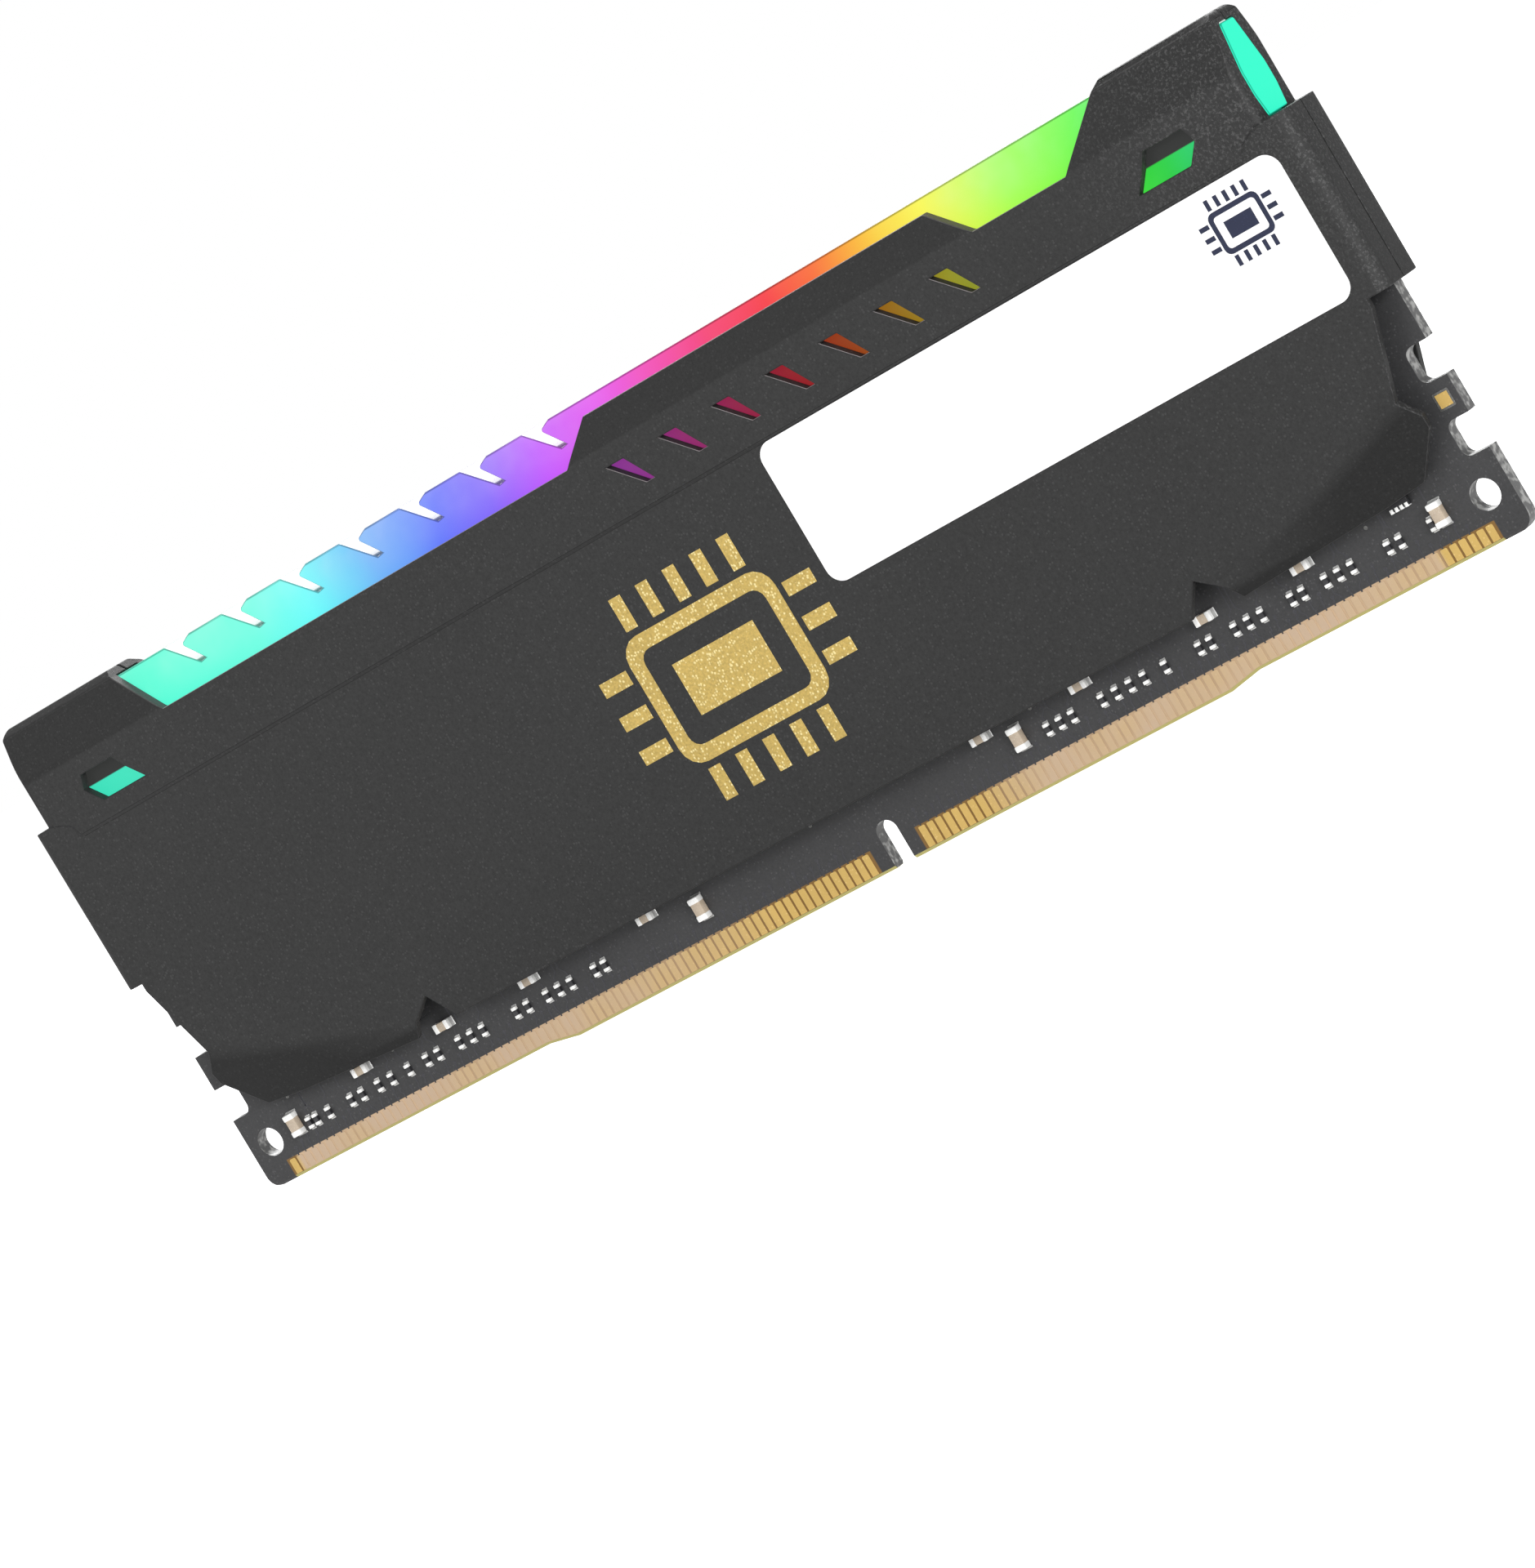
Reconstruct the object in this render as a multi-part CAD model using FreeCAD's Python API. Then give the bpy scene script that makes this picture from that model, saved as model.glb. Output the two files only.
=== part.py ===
import FreeCAD, Part
import math
import os

# Desktop memory module with two heat spreader shells and a light bar along its top.
# +X runs along the board from the first contact, -Y is the front face, +Z is up.
# The origin is at the middle of the lowest edge. All sizes are in millimetres.

# circuit board
board_length = 133.35
board_height = 31.25
board_thickness = 1.4
board_corner_radius = 1.2
board_top_radius = 0.3
edge_bevel_depth = 0.2
edge_bevel_height = 0.25
edge_step = 0.5
edge_step_run = 3.0
left_step_from_first_contact = 28.9
right_step_from_last_contact = 22.95
key_notch_x = 4.25
key_notch_width = 2.0
key_notch_depth = 3.85
key_notch_round_share = 0.95
latch_notch_depth = 2.2
latch_notch_height = 3.0
latch_notch_radius = 0.75
lower_latch_notch_z = 7.2
upper_latch_notch_z = 13.4
hole_radius = 1.25
hole_from_end = 2.3
hole_z = 4.2

# edge contacts
contact_pitch = 0.85
contact_width = 0.65
contact_thickness = 0.04
contact_top_z = 2.1
contact_corner_radius = 0.12
contact_gap_to_edge = 0.02
contact_from_key = 2.975
left_contact_count = 77
right_contact_count = 67

# memory chips and their solder balls
chip_count = 8
chip_width = 7.5
chip_height = 11.0
chip_body_thickness = 0.95
chip_center_z = 18.6
chip_pitch = 14.0
chip_first_x = 15.0
chip_chamfer = 0.15
chip_pad_thickness = 0.7
pad_margin = 0.2
ball_height = 0.25
ball_radius = 0.22
ball_pitch = 0.8
ball_rows = 13
ball_columns = 3
ball_bank_gap = 4.8

# heat spreader shells
upper_face_step = 0.2
sheet_thickness = 0.7
seam_gap = 0.2
end_clearance = 0.125
flange_wall = 0.6
flange_low_z = 21.1
flange_above_board = 4.95
flange_bend_radius = 1.3
flange_root_step = 0.0
flange_root_drop = 0.7
shell_above_flange = 8.8
shell_lower_z = 6.4
upper_end_inset = 2.0
upper_end_wall = 0.7
upper_end_radius = 0.6
upper_corner_inset = 0.8
top_lip_half_width = 1.6
top_lean = 1.0
top_edge_drop = 0.6
top_edge_radius = 0.5
top_lip_radius = 0.4
lean_from_top = 4.6
lean_bend_radius = 3.0
lean_inner_drop = 0.2
step_line_below_flange = 2.0
step_line_rise = 0.2
step_corner_run = 2.4
step_corner_height = 1.8
step_corner_slant = 0.9
step_corner_shoulder = 1.2
step_corner_shoulder_share = 0.7
step_corner_outer_rise = 0.2
step_corner_overcut = 0.5
top_corner_cut = 0.6

# openings in the shells' upper edge, from left to right
left_window_top_x = -52.8
left_window_low_x = -48.5
window_from_top = 5.0
left_window_end_x = -2.4
strip_start_x = 1.0
strip_from_top = 2.0
strip_end_x = 36.5
right_window_low_x = 39.9
right_window_end_x = 49.1
right_window_top_x = 54.6

# slits and end slots in the shells' faces
slit_count = 7
slit_first_x = 0.85
slit_pitch = 5.62
slit_above_flange = 2.4
slit_run = 3.45
slit_drop = 2.5
slit_width = 1.8
slit_tip_width = 0.85
slot_low_x = 53.6
slot_length = 5.0
slot_slant = 1.3
slot_below_flange = 0.2
slot_height = 1.5
slot_hood_height = 1.2
slot_hood_inner_run = 0.8
slot_hood_outer_run = -0.5

# bent lower corners and small cuts in the lower edge
fold_inner_x = 43.0
fold_inner_z = 7.4
fold_outer_x = 63.1
fold_outer_z = 13.4
corner_bend_depth = 1.3
corner_reach_share = 0.8
corner_toe_x = 0.8
corner_toe_drop = 0.3
cut_inner_x = 39.0
cut_apex_x = 40.8
cut_apex_z = 9.0

# outer outline of a bent corner, from the outer end of its fold: how far outwards, how far down, radius
bent_corner_points = (
    (1.2, 1.7, 0.0),
    (1.1, 2.8, 0.3),
    (-1.8, 6.2, 0.5),
    (-5.8, 6.6, 1.5),
)

# light bar
bar_fit = 0.1
bar_over_board = 0.95
bar_groove_fit = 0.15
bar_groove_clearance = 0.1
tooth_count = 7
tooth_last_tip_x = -2.1
tooth_pitch = 6.83
tooth_depth = 2.4
tooth_run = 3.7
tooth_mouth = 1.8
tooth_corner_cut = 0.5
tooth_corner_run = 1.1
tooth_corner_radius = 0.25
tooth_tip_width = 0.6
tooth_tip_rise = 0.1
bar_bend_drop = 0.3
bar_top_radius = 0.25
end_window_half_width = 2.15
end_window_top_half_width = 1.25
end_window_below_lip = 0.3
end_window_low_inset = 0.4
end_window_low_rise = 1.9
end_window_bend_drop = 0.4
end_window_side_radius = 2.0
end_window_top_radius = 0.3
end_boss_length = 0.75

# label and small parts
label_thickness = 0.1
label_left_x = 13.4
label_right_x = 65.0
label_height = 12.35
label_below_step = 0.05
label_radius = 1.4
led_count = 8
led_width = 3.0
led_depth = 0.9
led_height = 1.5
led_pitch = 16.0
led_gap_to_bar = 0.1
led_capacitor_gap = 1.0
config_memory_size = (2.0, 0.75, 3.0)
controller_size = (4.0, 0.85, 4.0)
controller_gap_to_leds = 0.4
large_capacitor = (1.05, 0.85, 2.0)
medium_capacitor = (1.6, 0.8, 0.8)
small_resistor = (0.5, 0.35, 1.0)
network_size = (2.0, 0.5, 1.2)
test_pad_size = 1.1
test_pad_from_end = 1.275
large_capacitor_z = 4.6
large_capacitor_xs = (-60.9, -14.5, 19.2, 60.45)
medium_capacitor_z = 6.0
medium_capacitor_xs = (-52.0, -42.4, -32.7, -19.5, 16.2, 26.3, 38.8, 48.2)
small_resistor_z = 4.1
network_x = 57.9
network_z = 6.8
back_resistor_start_x = 14.0
back_resistor_pitch = 2.55
back_resistor_count = 18

# each group: x of its first resistor, how many, and the spacing inside the group
resistor_groups = (
    (-59.6, 2, 0.8),
    (-57.3, 1, 1.0),
    (-54.65, 2, 1.3),
    (-51.4, 2, 1.5),
    (-47.9, 1, 1.0),
    (-45.8, 2, 1.35),
    (-42.0, 3, 1.35),
    (-35.5, 2, 1.3),
    (-32.0, 3, 1.35),
    (-26.6, 2, 1.1),
    (21.8, 3, 1.25),
    (27.3, 4, 1.4),
    (33.6, 1, 1.0),
    (37.0, 2, 1.1),
    (40.5, 3, 1.3),
    (46.0, 2, 1.1),
    (49.3, 3, 1.25),
    (55.3, 2, 1.1),
    (59.4, 1, 1.0),
)

# worked out from the sizes above
half_length = board_length / 2.0
half_board = board_thickness / 2.0
chip_face_y = half_board + ball_height + chip_body_thickness
inner_y = chip_face_y + chip_pad_thickness
face_y = inner_y + sheet_thickness
upper_face_y = face_y + upper_face_step
shell_half_length = half_length + end_clearance + flange_wall
flange_inner_x = half_length + end_clearance
upper_half_length = shell_half_length - upper_end_inset
upper_inner_x = upper_half_length - upper_end_wall
flange_high_z = board_height + flange_above_board
shell_top_z = flange_high_z + shell_above_flange
lip_low_z = shell_top_z - sheet_thickness
lean_start_z = shell_top_z - lean_from_top
window_low_z = shell_top_z - window_from_top
step_line_z = flange_high_z - step_line_below_flange
bar_low_z = board_height - bar_over_board
bar_top_z = lip_low_z - bar_fit
end_window_top_z = lip_low_z - end_window_below_lip
first_contact_x = key_notch_x - contact_from_key - (left_contact_count - 1) * contact_pitch
last_contact_x = key_notch_x + contact_from_key + (right_contact_count - 1) * contact_pitch
left_step_x = first_contact_x + left_step_from_first_contact
right_step_x = last_contact_x - right_step_from_last_contact
far = 2.0 * board_length
overcut = 1.0

os.makedirs("parts", exist_ok=True)


def box(x_low, x_high, y_low, y_high, z_low, z_high):
    size = (x_high - x_low, y_high - y_low, z_high - z_low)
    return Part.makeBox(*size, FreeCAD.Vector(x_low, y_low, z_low))


def rounded_face(corners, place):
    # corners are (u, v) or (u, v, radius); each radius becomes an arc tangent to both sides
    edges = []
    starts = []
    ends = []
    middles = []
    count = len(corners)
    for index in range(count):
        here = corners[index]
        point = place(here[0], here[1])
        radius = here[2] if len(here) > 2 else 0.0
        if radius <= 0.0:
            starts.append(point)
            ends.append(point)
            middles.append(None)
            continue
        before = corners[index - 1]
        after = corners[(index + 1) % count]
        back = (place(before[0], before[1]) - point).normalize()
        ahead = (place(after[0], after[1]) - point).normalize()
        half_angle = back.getAngle(ahead) / 2.0
        reach = radius / math.tan(half_angle)
        bisector = (back + ahead).normalize()
        center = point + bisector * (radius / math.sin(half_angle))
        starts.append(point + back * reach)
        ends.append(point + ahead * reach)
        middles.append(center - bisector * radius)
    for index in range(count):
        following = (index + 1) % count
        if middles[index] is not None:
            edges.append(Part.Arc(starts[index], middles[index], ends[index]).toShape())
        if ends[index].distanceToPoint(starts[following]) > 1e-6:
            edges.append(Part.LineSegment(ends[index], starts[following]).toShape())
    return Part.Face(Part.Wire(edges))


def front_prism(corners, y_low, y_high):
    # an outline seen from the front, given as (x, z), carried through the thickness
    face = rounded_face(corners, lambda x, z: FreeCAD.Vector(x, y_low, z))
    return face.extrude(FreeCAD.Vector(0, y_high - y_low, 0))


def end_prism(corners, x_low, x_high):
    # an outline seen from the end, given as (y, z), carried along the length
    face = rounded_face(corners, lambda y, z: FreeCAD.Vector(x_low, y, z))
    return face.extrude(FreeCAD.Vector(x_high - x_low, 0, 0))


def plan_prism(corners, z_low, z_high):
    # an outline seen from above, given as (x, y), carried upwards
    face = rounded_face(corners, lambda x, y: FreeCAD.Vector(x, y, z_low))
    return face.extrude(FreeCAD.Vector(0, 0, z_high - z_low))


def mirrored_x(shape):
    return shape.mirror(FreeCAD.Vector(0, 0, 0), FreeCAD.Vector(1, 0, 0))


def mirrored_y(shape):
    return shape.mirror(FreeCAD.Vector(0, 0, 0), FreeCAD.Vector(0, 1, 0))


def single(shape):
    solids = shape.removeSplitter().Solids
    return max(solids, key=lambda solid: solid.Volume)


def save(name, solids):
    group = solids if isinstance(solids, list) else [solids]
    whole = group[0] if len(group) == 1 else Part.makeCompound(group)
    whole.exportStep("parts/" + name + ".step")
    print(name, len(group), "solids", round(sum(solid.Volume for solid in group), 3), "mm3")


def edge_z(x):
    # height of the board's lower edge, which is lowest in the middle
    if x < left_step_x:
        return edge_step
    if x < left_step_x + edge_step_run:
        return edge_step * (left_step_x + edge_step_run - x) / edge_step_run
    if x > right_step_x:
        return edge_step
    if x > right_step_x - edge_step_run:
        return edge_step * (x - right_step_x + edge_step_run) / edge_step_run
    return 0.0


def board_side(side):
    # right or left end of the board's outline from the lower corner up, as (x, z, radius)
    end_x = half_length
    inner_x = half_length - latch_notch_depth
    points = [(end_x, edge_step, board_corner_radius)]
    for low_z in (lower_latch_notch_z, upper_latch_notch_z):
        high_z = low_z + latch_notch_height
        points.append((end_x, low_z))
        points.append((inner_x, low_z, latch_notch_radius))
        points.append((inner_x, high_z, latch_notch_radius))
        points.append((end_x, high_z))
    points.append((end_x, board_height, board_top_radius))
    placed = [(side * point[0],) + point[1:] for point in points]
    return placed if side > 0 else placed[::-1]


def make_board():
    half_key = key_notch_width / 2.0
    key_radius = half_key * key_notch_round_share
    lower = [
        (left_step_x, edge_step),
        (left_step_x + edge_step_run, 0.0),
        (key_notch_x - half_key, 0.0),
        (key_notch_x - half_key, key_notch_depth, key_radius),
        (key_notch_x + half_key, key_notch_depth, key_radius),
        (key_notch_x + half_key, 0.0),
        (right_step_x - edge_step_run, 0.0),
        (right_step_x, edge_step),
    ]
    outline = lower + board_side(1) + board_side(-1)
    board = front_prism(outline, -half_board, half_board)
    for side in (-1, 1):
        center = FreeCAD.Vector(side * (half_length - hole_from_end), -half_board, hole_z)
        board = board.cut(Part.makeCylinder(hole_radius, board_thickness, center, FreeCAD.Vector(0, 1, 0)))
    step_xs = (left_step_x, left_step_x + edge_step_run, right_step_x - edge_step_run, right_step_x)
    low_edge = [(x, edge_z(x)) for x in (-far,) + step_xs + (far,)]
    for index in range(len(low_edge) - 1):
        board = board.cut(edge_bevel(low_edge[index], low_edge[index + 1], -1))
        board = board.cut(edge_bevel(low_edge[index], low_edge[index + 1], 1))
    return single(board)


def edge_bevel(start, end, side):
    # wedge taken off the lower long edge between two points of it
    x, z = start
    bevel_y = side * (half_board - 2.0 * edge_bevel_depth)
    outer_y = side * (half_board + edge_bevel_depth)
    low = FreeCAD.Vector(x, bevel_y, z - edge_bevel_height)
    high = FreeCAD.Vector(x, outer_y, z + 2.0 * edge_bevel_height)
    under = FreeCAD.Vector(x, outer_y, z - edge_bevel_height)
    face = Part.Face(Part.makePolygon([low, high, under, low]))
    return face.extrude(FreeCAD.Vector(end[0] - x, 0.0, end[1] - z))


def make_contacts(first_x, count, side):
    # flat gold contacts on one face, each reaching down to the bevelled edge
    contacts = []
    y_inner = side * half_board
    y_outer = side * (half_board + contact_thickness)
    y_low = min(y_inner, y_outer)
    y_high = max(y_inner, y_outer)
    half = contact_width / 2.0
    for number in range(count):
        x = first_x + number * contact_pitch
        low_left = edge_z(x - half) + edge_bevel_height + contact_gap_to_edge
        low_right = edge_z(x + half) + edge_bevel_height + contact_gap_to_edge
        outline = [(x - half, low_left), (x + half, low_right)]
        outline.append((x + half, contact_top_z, contact_corner_radius))
        outline.append((x - half, contact_top_z, contact_corner_radius))
        contacts.append(front_prism(outline, y_low, y_high))
    return contacts


def chip_xs():
    half_count = chip_count // 2
    right = [chip_first_x + number * chip_pitch for number in range(half_count)]
    return [-x for x in reversed(right)] + right


def make_chip(x):
    back_y = -half_board - ball_height
    body = box(
        x - chip_width / 2.0, x + chip_width / 2.0, -chip_face_y, back_y,
        chip_center_z - chip_height / 2.0, chip_center_z + chip_height / 2.0,
    )
    front_edges = [edge for edge in body.Edges if edge.BoundBox.YMax < -chip_face_y + 0.01]
    return body.makeChamfer(chip_chamfer, front_edges)


def make_balls():
    # two banks of ball columns under each chip
    balls = []
    for x in chip_xs():
        for bank in (-1, 1):
            for column in range(ball_columns):
                offset = ball_bank_gap / 2.0 + (column - ball_columns + 1) * ball_pitch
                ball_x = x + bank * offset
                for row in range(ball_rows):
                    ball_z = chip_center_z + (row - (ball_rows - 1) / 2.0) * ball_pitch
                    base = FreeCAD.Vector(ball_x, -half_board - ball_height, ball_z)
                    ball = Part.makeCylinder(ball_radius, ball_height, base, FreeCAD.Vector(0, 1, 0))
                    balls.append(ball)
    return balls


def shell_outline():
    # the shell seen from the front, without its bent lower corners
    flange_root_x = upper_half_length + flange_root_step
    right_low = [
        (cut_inner_x, shell_lower_z),
        (cut_apex_x, cut_apex_z),
        (fold_inner_x, fold_inner_z),
        (fold_outer_x, fold_outer_z),
        (flange_root_x, flange_low_z - flange_root_drop),
        (flange_root_x, flange_low_z),
        (shell_half_length, flange_low_z),
        (shell_half_length, flange_high_z),
        (upper_half_length, flange_high_z),
    ]
    left_low = [(-x, z) for x, z in reversed(right_low)]
    top = [
        (upper_half_length, shell_top_z, top_corner_cut),
        (right_window_top_x, shell_top_z),
        (right_window_end_x, window_low_z),
        (right_window_low_x, window_low_z),
        (strip_end_x, shell_top_z - strip_from_top),
        (strip_start_x, shell_top_z - strip_from_top),
        (left_window_end_x, window_low_z),
        (left_window_low_x, window_low_z),
        (left_window_top_x, shell_top_z),
        (-upper_half_length, shell_top_z, top_corner_cut),
    ]
    return right_low + top + left_low


def shell_section():
    # the front shell's outer section, seen from the end, as (y, z, radius)
    return [
        (0.0, -overcut),
        (-face_y, -overcut),
        (-face_y, step_line_z),
        (-upper_face_y, step_line_z + step_line_rise),
        (-upper_face_y, lean_start_z, lean_bend_radius),
        (-upper_face_y + top_lean, shell_top_z - top_edge_drop, top_edge_radius),
        (-top_lip_half_width, shell_top_z, top_lip_radius),
        (0.0, shell_top_z),
    ]


def end_window(half_width, top_half_width, low_z, top_z, x_low, x_high):
    # window in the upper end wall, narrower towards its top
    bend_z = lean_start_z - end_window_bend_drop
    corners = [
        (-half_width + end_window_low_inset, low_z),
        (half_width - end_window_low_inset, low_z),
        (half_width, low_z + end_window_low_rise, end_window_side_radius),
        (half_width, bend_z, end_window_side_radius),
        (top_half_width, top_z, end_window_top_radius),
        (-top_half_width, top_z, end_window_top_radius),
        (-half_width, bend_z, end_window_side_radius),
        (-half_width, low_z + end_window_low_rise, end_window_side_radius),
    ]
    return end_prism(corners, x_low, x_high)


def lean_at(rise):
    # how far the leaning top has moved inwards, at a height above where it starts
    return top_lean * rise / (lean_from_top - top_edge_drop)


def shell_cavity():
    # the space inside both shells, down to the seam
    lower_top_z = flange_high_z - upper_end_wall
    lower = box(-flange_inner_x, flange_inner_x, -inner_y, 0.0, -overcut, lower_top_z)
    lean = lean_at(lip_low_z - lean_start_z + lean_inner_drop)
    upper = end_prism(
        [
            (0.0, lower_top_z - overcut),
            (-inner_y, lower_top_z - overcut),
            (-inner_y, lean_start_z - lean_inner_drop),
            (-inner_y + lean, lip_low_z),
            (0.0, lip_low_z),
        ],
        -upper_inner_x,
        upper_inner_x,
    )
    return lower.fuse(upper)


def bent_corner():
    # right lower corner of the front shell, a flat facet that leans in towards the board
    inner = FreeCAD.Vector(fold_inner_x, -face_y, fold_inner_z)
    outer = FreeCAD.Vector(fold_outer_x, -face_y, fold_outer_z)
    along = (outer - inner).normalize()
    down = FreeCAD.Vector(along.z, 0.0, -along.x)
    reach = (fold_outer_z - shell_lower_z) * corner_reach_share
    lean = corner_bend_depth / reach

    def place(x, z):
        # a point seen from the front, dropped onto the leaning plane
        flat = FreeCAD.Vector(x, -face_y, z) - inner
        return inner + flat + FreeCAD.Vector(0.0, flat.dot(down) * lean, 0.0)

    corners = [(fold_inner_x, fold_inner_z), (fold_outer_x, fold_outer_z)]
    for outwards, down_by, radius in bent_corner_points:
        corners.append((fold_outer_x + outwards, fold_outer_z - down_by, radius))
    corners.append((fold_inner_x + corner_toe_x, shell_lower_z - corner_toe_drop))
    face = rounded_face(corners, place)
    inward = FreeCAD.Vector(0.0, 1.0, 0.0) - down * lean
    return face.extrude(inward.normalize() * sheet_thickness)


def face_openings():
    # slanted slits and one slot near each end, cut through the front face
    cuts = []
    slit_top_z = flange_high_z + slit_above_flange
    slot_low_z = flange_high_z - slot_below_flange
    slot_bend_z = slot_low_z + slot_height
    slot_top_z = slot_bend_z + slot_hood_height
    slot_end_x = slot_low_x + slot_length
    y_low = -upper_face_y - overcut
    y_high = -inner_y + bar_fit / 2.0
    for number in range(slit_count):
        x = slit_first_x + number * slit_pitch
        corners = [
            (x, slit_top_z),
            (x + slit_width, slit_top_z),
            (x + slit_run, slit_top_z - slit_drop),
            (x + slit_run - slit_tip_width, slit_top_z - slit_drop),
        ]
        cuts.append(front_prism(corners, y_low, y_high))
    slot = [
        (slot_low_x, slot_low_z),
        (slot_end_x, slot_low_z),
        (slot_end_x + slot_slant, slot_bend_z),
        (slot_end_x + slot_slant + slot_hood_outer_run, slot_top_z),
        (slot_low_x + slot_slant + slot_hood_inner_run, slot_top_z),
        (slot_low_x + slot_slant, slot_bend_z),
    ]
    right_slot = front_prism(slot, y_low, y_high)
    return cuts + [right_slot, mirrored_x(right_slot)]


def step_corner(side):
    # the raised upper face ends in a slanted corner beside each end flange
    start_x = upper_half_length - flange_root_step - step_corner_run
    low_z = step_line_z - step_corner_overcut
    high_z = step_line_z + step_corner_height
    corners = [
        (side * (start_x - step_corner_slant), low_z),
        (side * start_x, step_line_z + step_corner_height * step_corner_shoulder_share),
        (side * (start_x + step_corner_shoulder), high_z),
        (side * (shell_half_length + overcut), high_z + step_corner_outer_rise),
        (side * (shell_half_length + overcut), low_z),
    ]
    return front_prism(corners, -upper_face_y - overcut, -face_y)


def make_front_shell():
    shell = front_prism(shell_outline(), -upper_face_y, -seam_gap / 2.0)
    past_end_x = shell_half_length + overcut
    shell = shell.common(end_prism(shell_section(), -past_end_x, past_end_x))
    for side in (-1, 1):
        shell = shell.cut(step_corner(side))
    edge_x = shell_half_length
    plan = [
        (-edge_x, -face_y, flange_bend_radius),
        (edge_x, -face_y, flange_bend_radius),
        (edge_x, overcut),
        (-edge_x, overcut),
    ]
    upper_plan = [
        (-upper_half_length, -upper_face_y, upper_end_radius),
        (upper_half_length, -upper_face_y, upper_end_radius),
        (upper_half_length, overcut),
        (-upper_half_length, overcut),
    ]
    rounding = plan_prism(plan, -overcut, flange_high_z)
    inner_x = upper_half_length - upper_corner_inset
    raised = box(-inner_x, inner_x, -upper_face_y, overcut, step_line_z - overcut, flange_high_z)
    rounding = rounding.fuse([raised, plan_prism(upper_plan, flange_high_z, shell_top_z + overcut)])
    shell = shell.common(rounding)
    shell = shell.cut(shell_cavity())
    for opening in face_openings():
        shell = shell.cut(opening)
    for side in (-1, 1):
        near = side * (upper_inner_x - overcut)
        past = side * (upper_half_length + overcut)
        window = end_window(
            end_window_half_width, end_window_top_half_width, flange_high_z, end_window_top_z,
            min(near, past), max(near, past),
        )
        shell = shell.cut(window)
    corner = bent_corner()
    shell = shell.fuse([corner, mirrored_x(corner)])
    return single(shell)


def bar_outline():
    # the light bar seen from the front, with slanted notches along its left half
    end_x = upper_inner_x - bar_fit
    points = [(-end_x, bar_low_z), (end_x, bar_low_z), (end_x, bar_top_z)]
    for number in range(tooth_count):
        tip_x = tooth_last_tip_x - number * tooth_pitch
        right_x = tip_x - tooth_run + tooth_mouth
        points.append((right_x + tooth_corner_run, bar_top_z))
        points.append((right_x, bar_top_z - tooth_corner_cut, tooth_corner_radius))
        points.append((tip_x, bar_top_z - tooth_depth))
        points.append((tip_x - tooth_tip_width, bar_top_z - tooth_depth - tooth_tip_rise))
        points.append((tip_x - tooth_run, bar_top_z))
    points.append((-end_x, bar_top_z))
    return points


def make_light_bar():
    half_width = inner_y - bar_fit
    bend_z = lean_start_z - bar_bend_drop
    lean = lean_at(bar_top_z - bend_z)
    section = [
        (-half_width, bar_low_z),
        (half_width, bar_low_z),
        (half_width, bend_z),
        (half_width - lean, bar_top_z, bar_top_radius),
        (-half_width + lean, bar_top_z, bar_top_radius),
        (-half_width, bend_z),
    ]
    bar = front_prism(bar_outline(), -half_width, half_width)
    bar = bar.common(end_prism(section, -shell_half_length, shell_half_length))
    groove = half_board + bar_groove_fit
    roof_z = board_height + bar_groove_clearance
    bar = bar.cut(box(-far, far, -groove, groove, bar_low_z - overcut, roof_z))
    for side in (-1, 1):
        start = side * (upper_inner_x - bar_fit)
        stop = side * (upper_inner_x + end_boss_length)
        boss = end_window(
            end_window_half_width - bar_fit, end_window_top_half_width - bar_fit,
            flange_high_z + bar_fit, end_window_top_z - bar_fit, min(start, stop), max(start, stop),
        )
        bar = bar.fuse(boss)
    return single(bar)


def part_on_board(x, z, size, side):
    # a small package standing on the board's front (-1) or back (+1) face, centred at x, z
    width, height, length = size
    y_inner = side * half_board
    y_outer = side * (half_board + height)
    y_low = min(y_inner, y_outer)
    y_high = max(y_inner, y_outer)
    return box(x - width / 2.0, x + width / 2.0, y_low, y_high, z - length / 2.0, z + length / 2.0)


def led_xs():
    return [(number - (led_count - 1) / 2.0) * led_pitch for number in range(led_count)]


def make_pad(y_low, y_high):
    # a strip that covers all the chips, with a small margin round them
    half_x = max(chip_xs()) + chip_width / 2.0 + pad_margin
    half_z = chip_height / 2.0 + pad_margin
    return box(-half_x, half_x, y_low, y_high, chip_center_z - half_z, chip_center_z + half_z)


def make_label():
    label_high_z = step_line_z - label_below_step
    label_low_z = label_high_z - label_height
    corners = [
        (label_left_x, label_low_z, label_radius),
        (label_right_x, label_low_z, label_radius),
        (label_right_x, label_high_z, label_radius),
        (label_left_x, label_high_z, label_radius),
    ]
    return front_prism(corners, -face_y - label_thickness, -face_y)


save("circuit_board", make_board())

right_first_x = key_notch_x + contact_from_key
for side_name, side_sign in (("front", -1), ("back", 1)):
    save("contacts_" + side_name + "_long", make_contacts(first_contact_x, left_contact_count, side_sign))
    save("contacts_" + side_name + "_short", make_contacts(right_first_x, right_contact_count, side_sign))

for chip_number, chip_x in enumerate(chip_xs(), start=1):
    save("memory_chip_" + str(chip_number), make_chip(chip_x))
save("chip_solder_balls", make_balls())

front_shell = make_front_shell()
save("heat_spreader_front", front_shell)
save("heat_spreader_back", mirrored_y(front_shell))
save("light_bar", make_light_bar())

save("thermal_pad_front", make_pad(-inner_y, -chip_face_y))
save("thermal_pad_back", make_pad(half_board, inner_y))
save("label_front", make_label())

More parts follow.
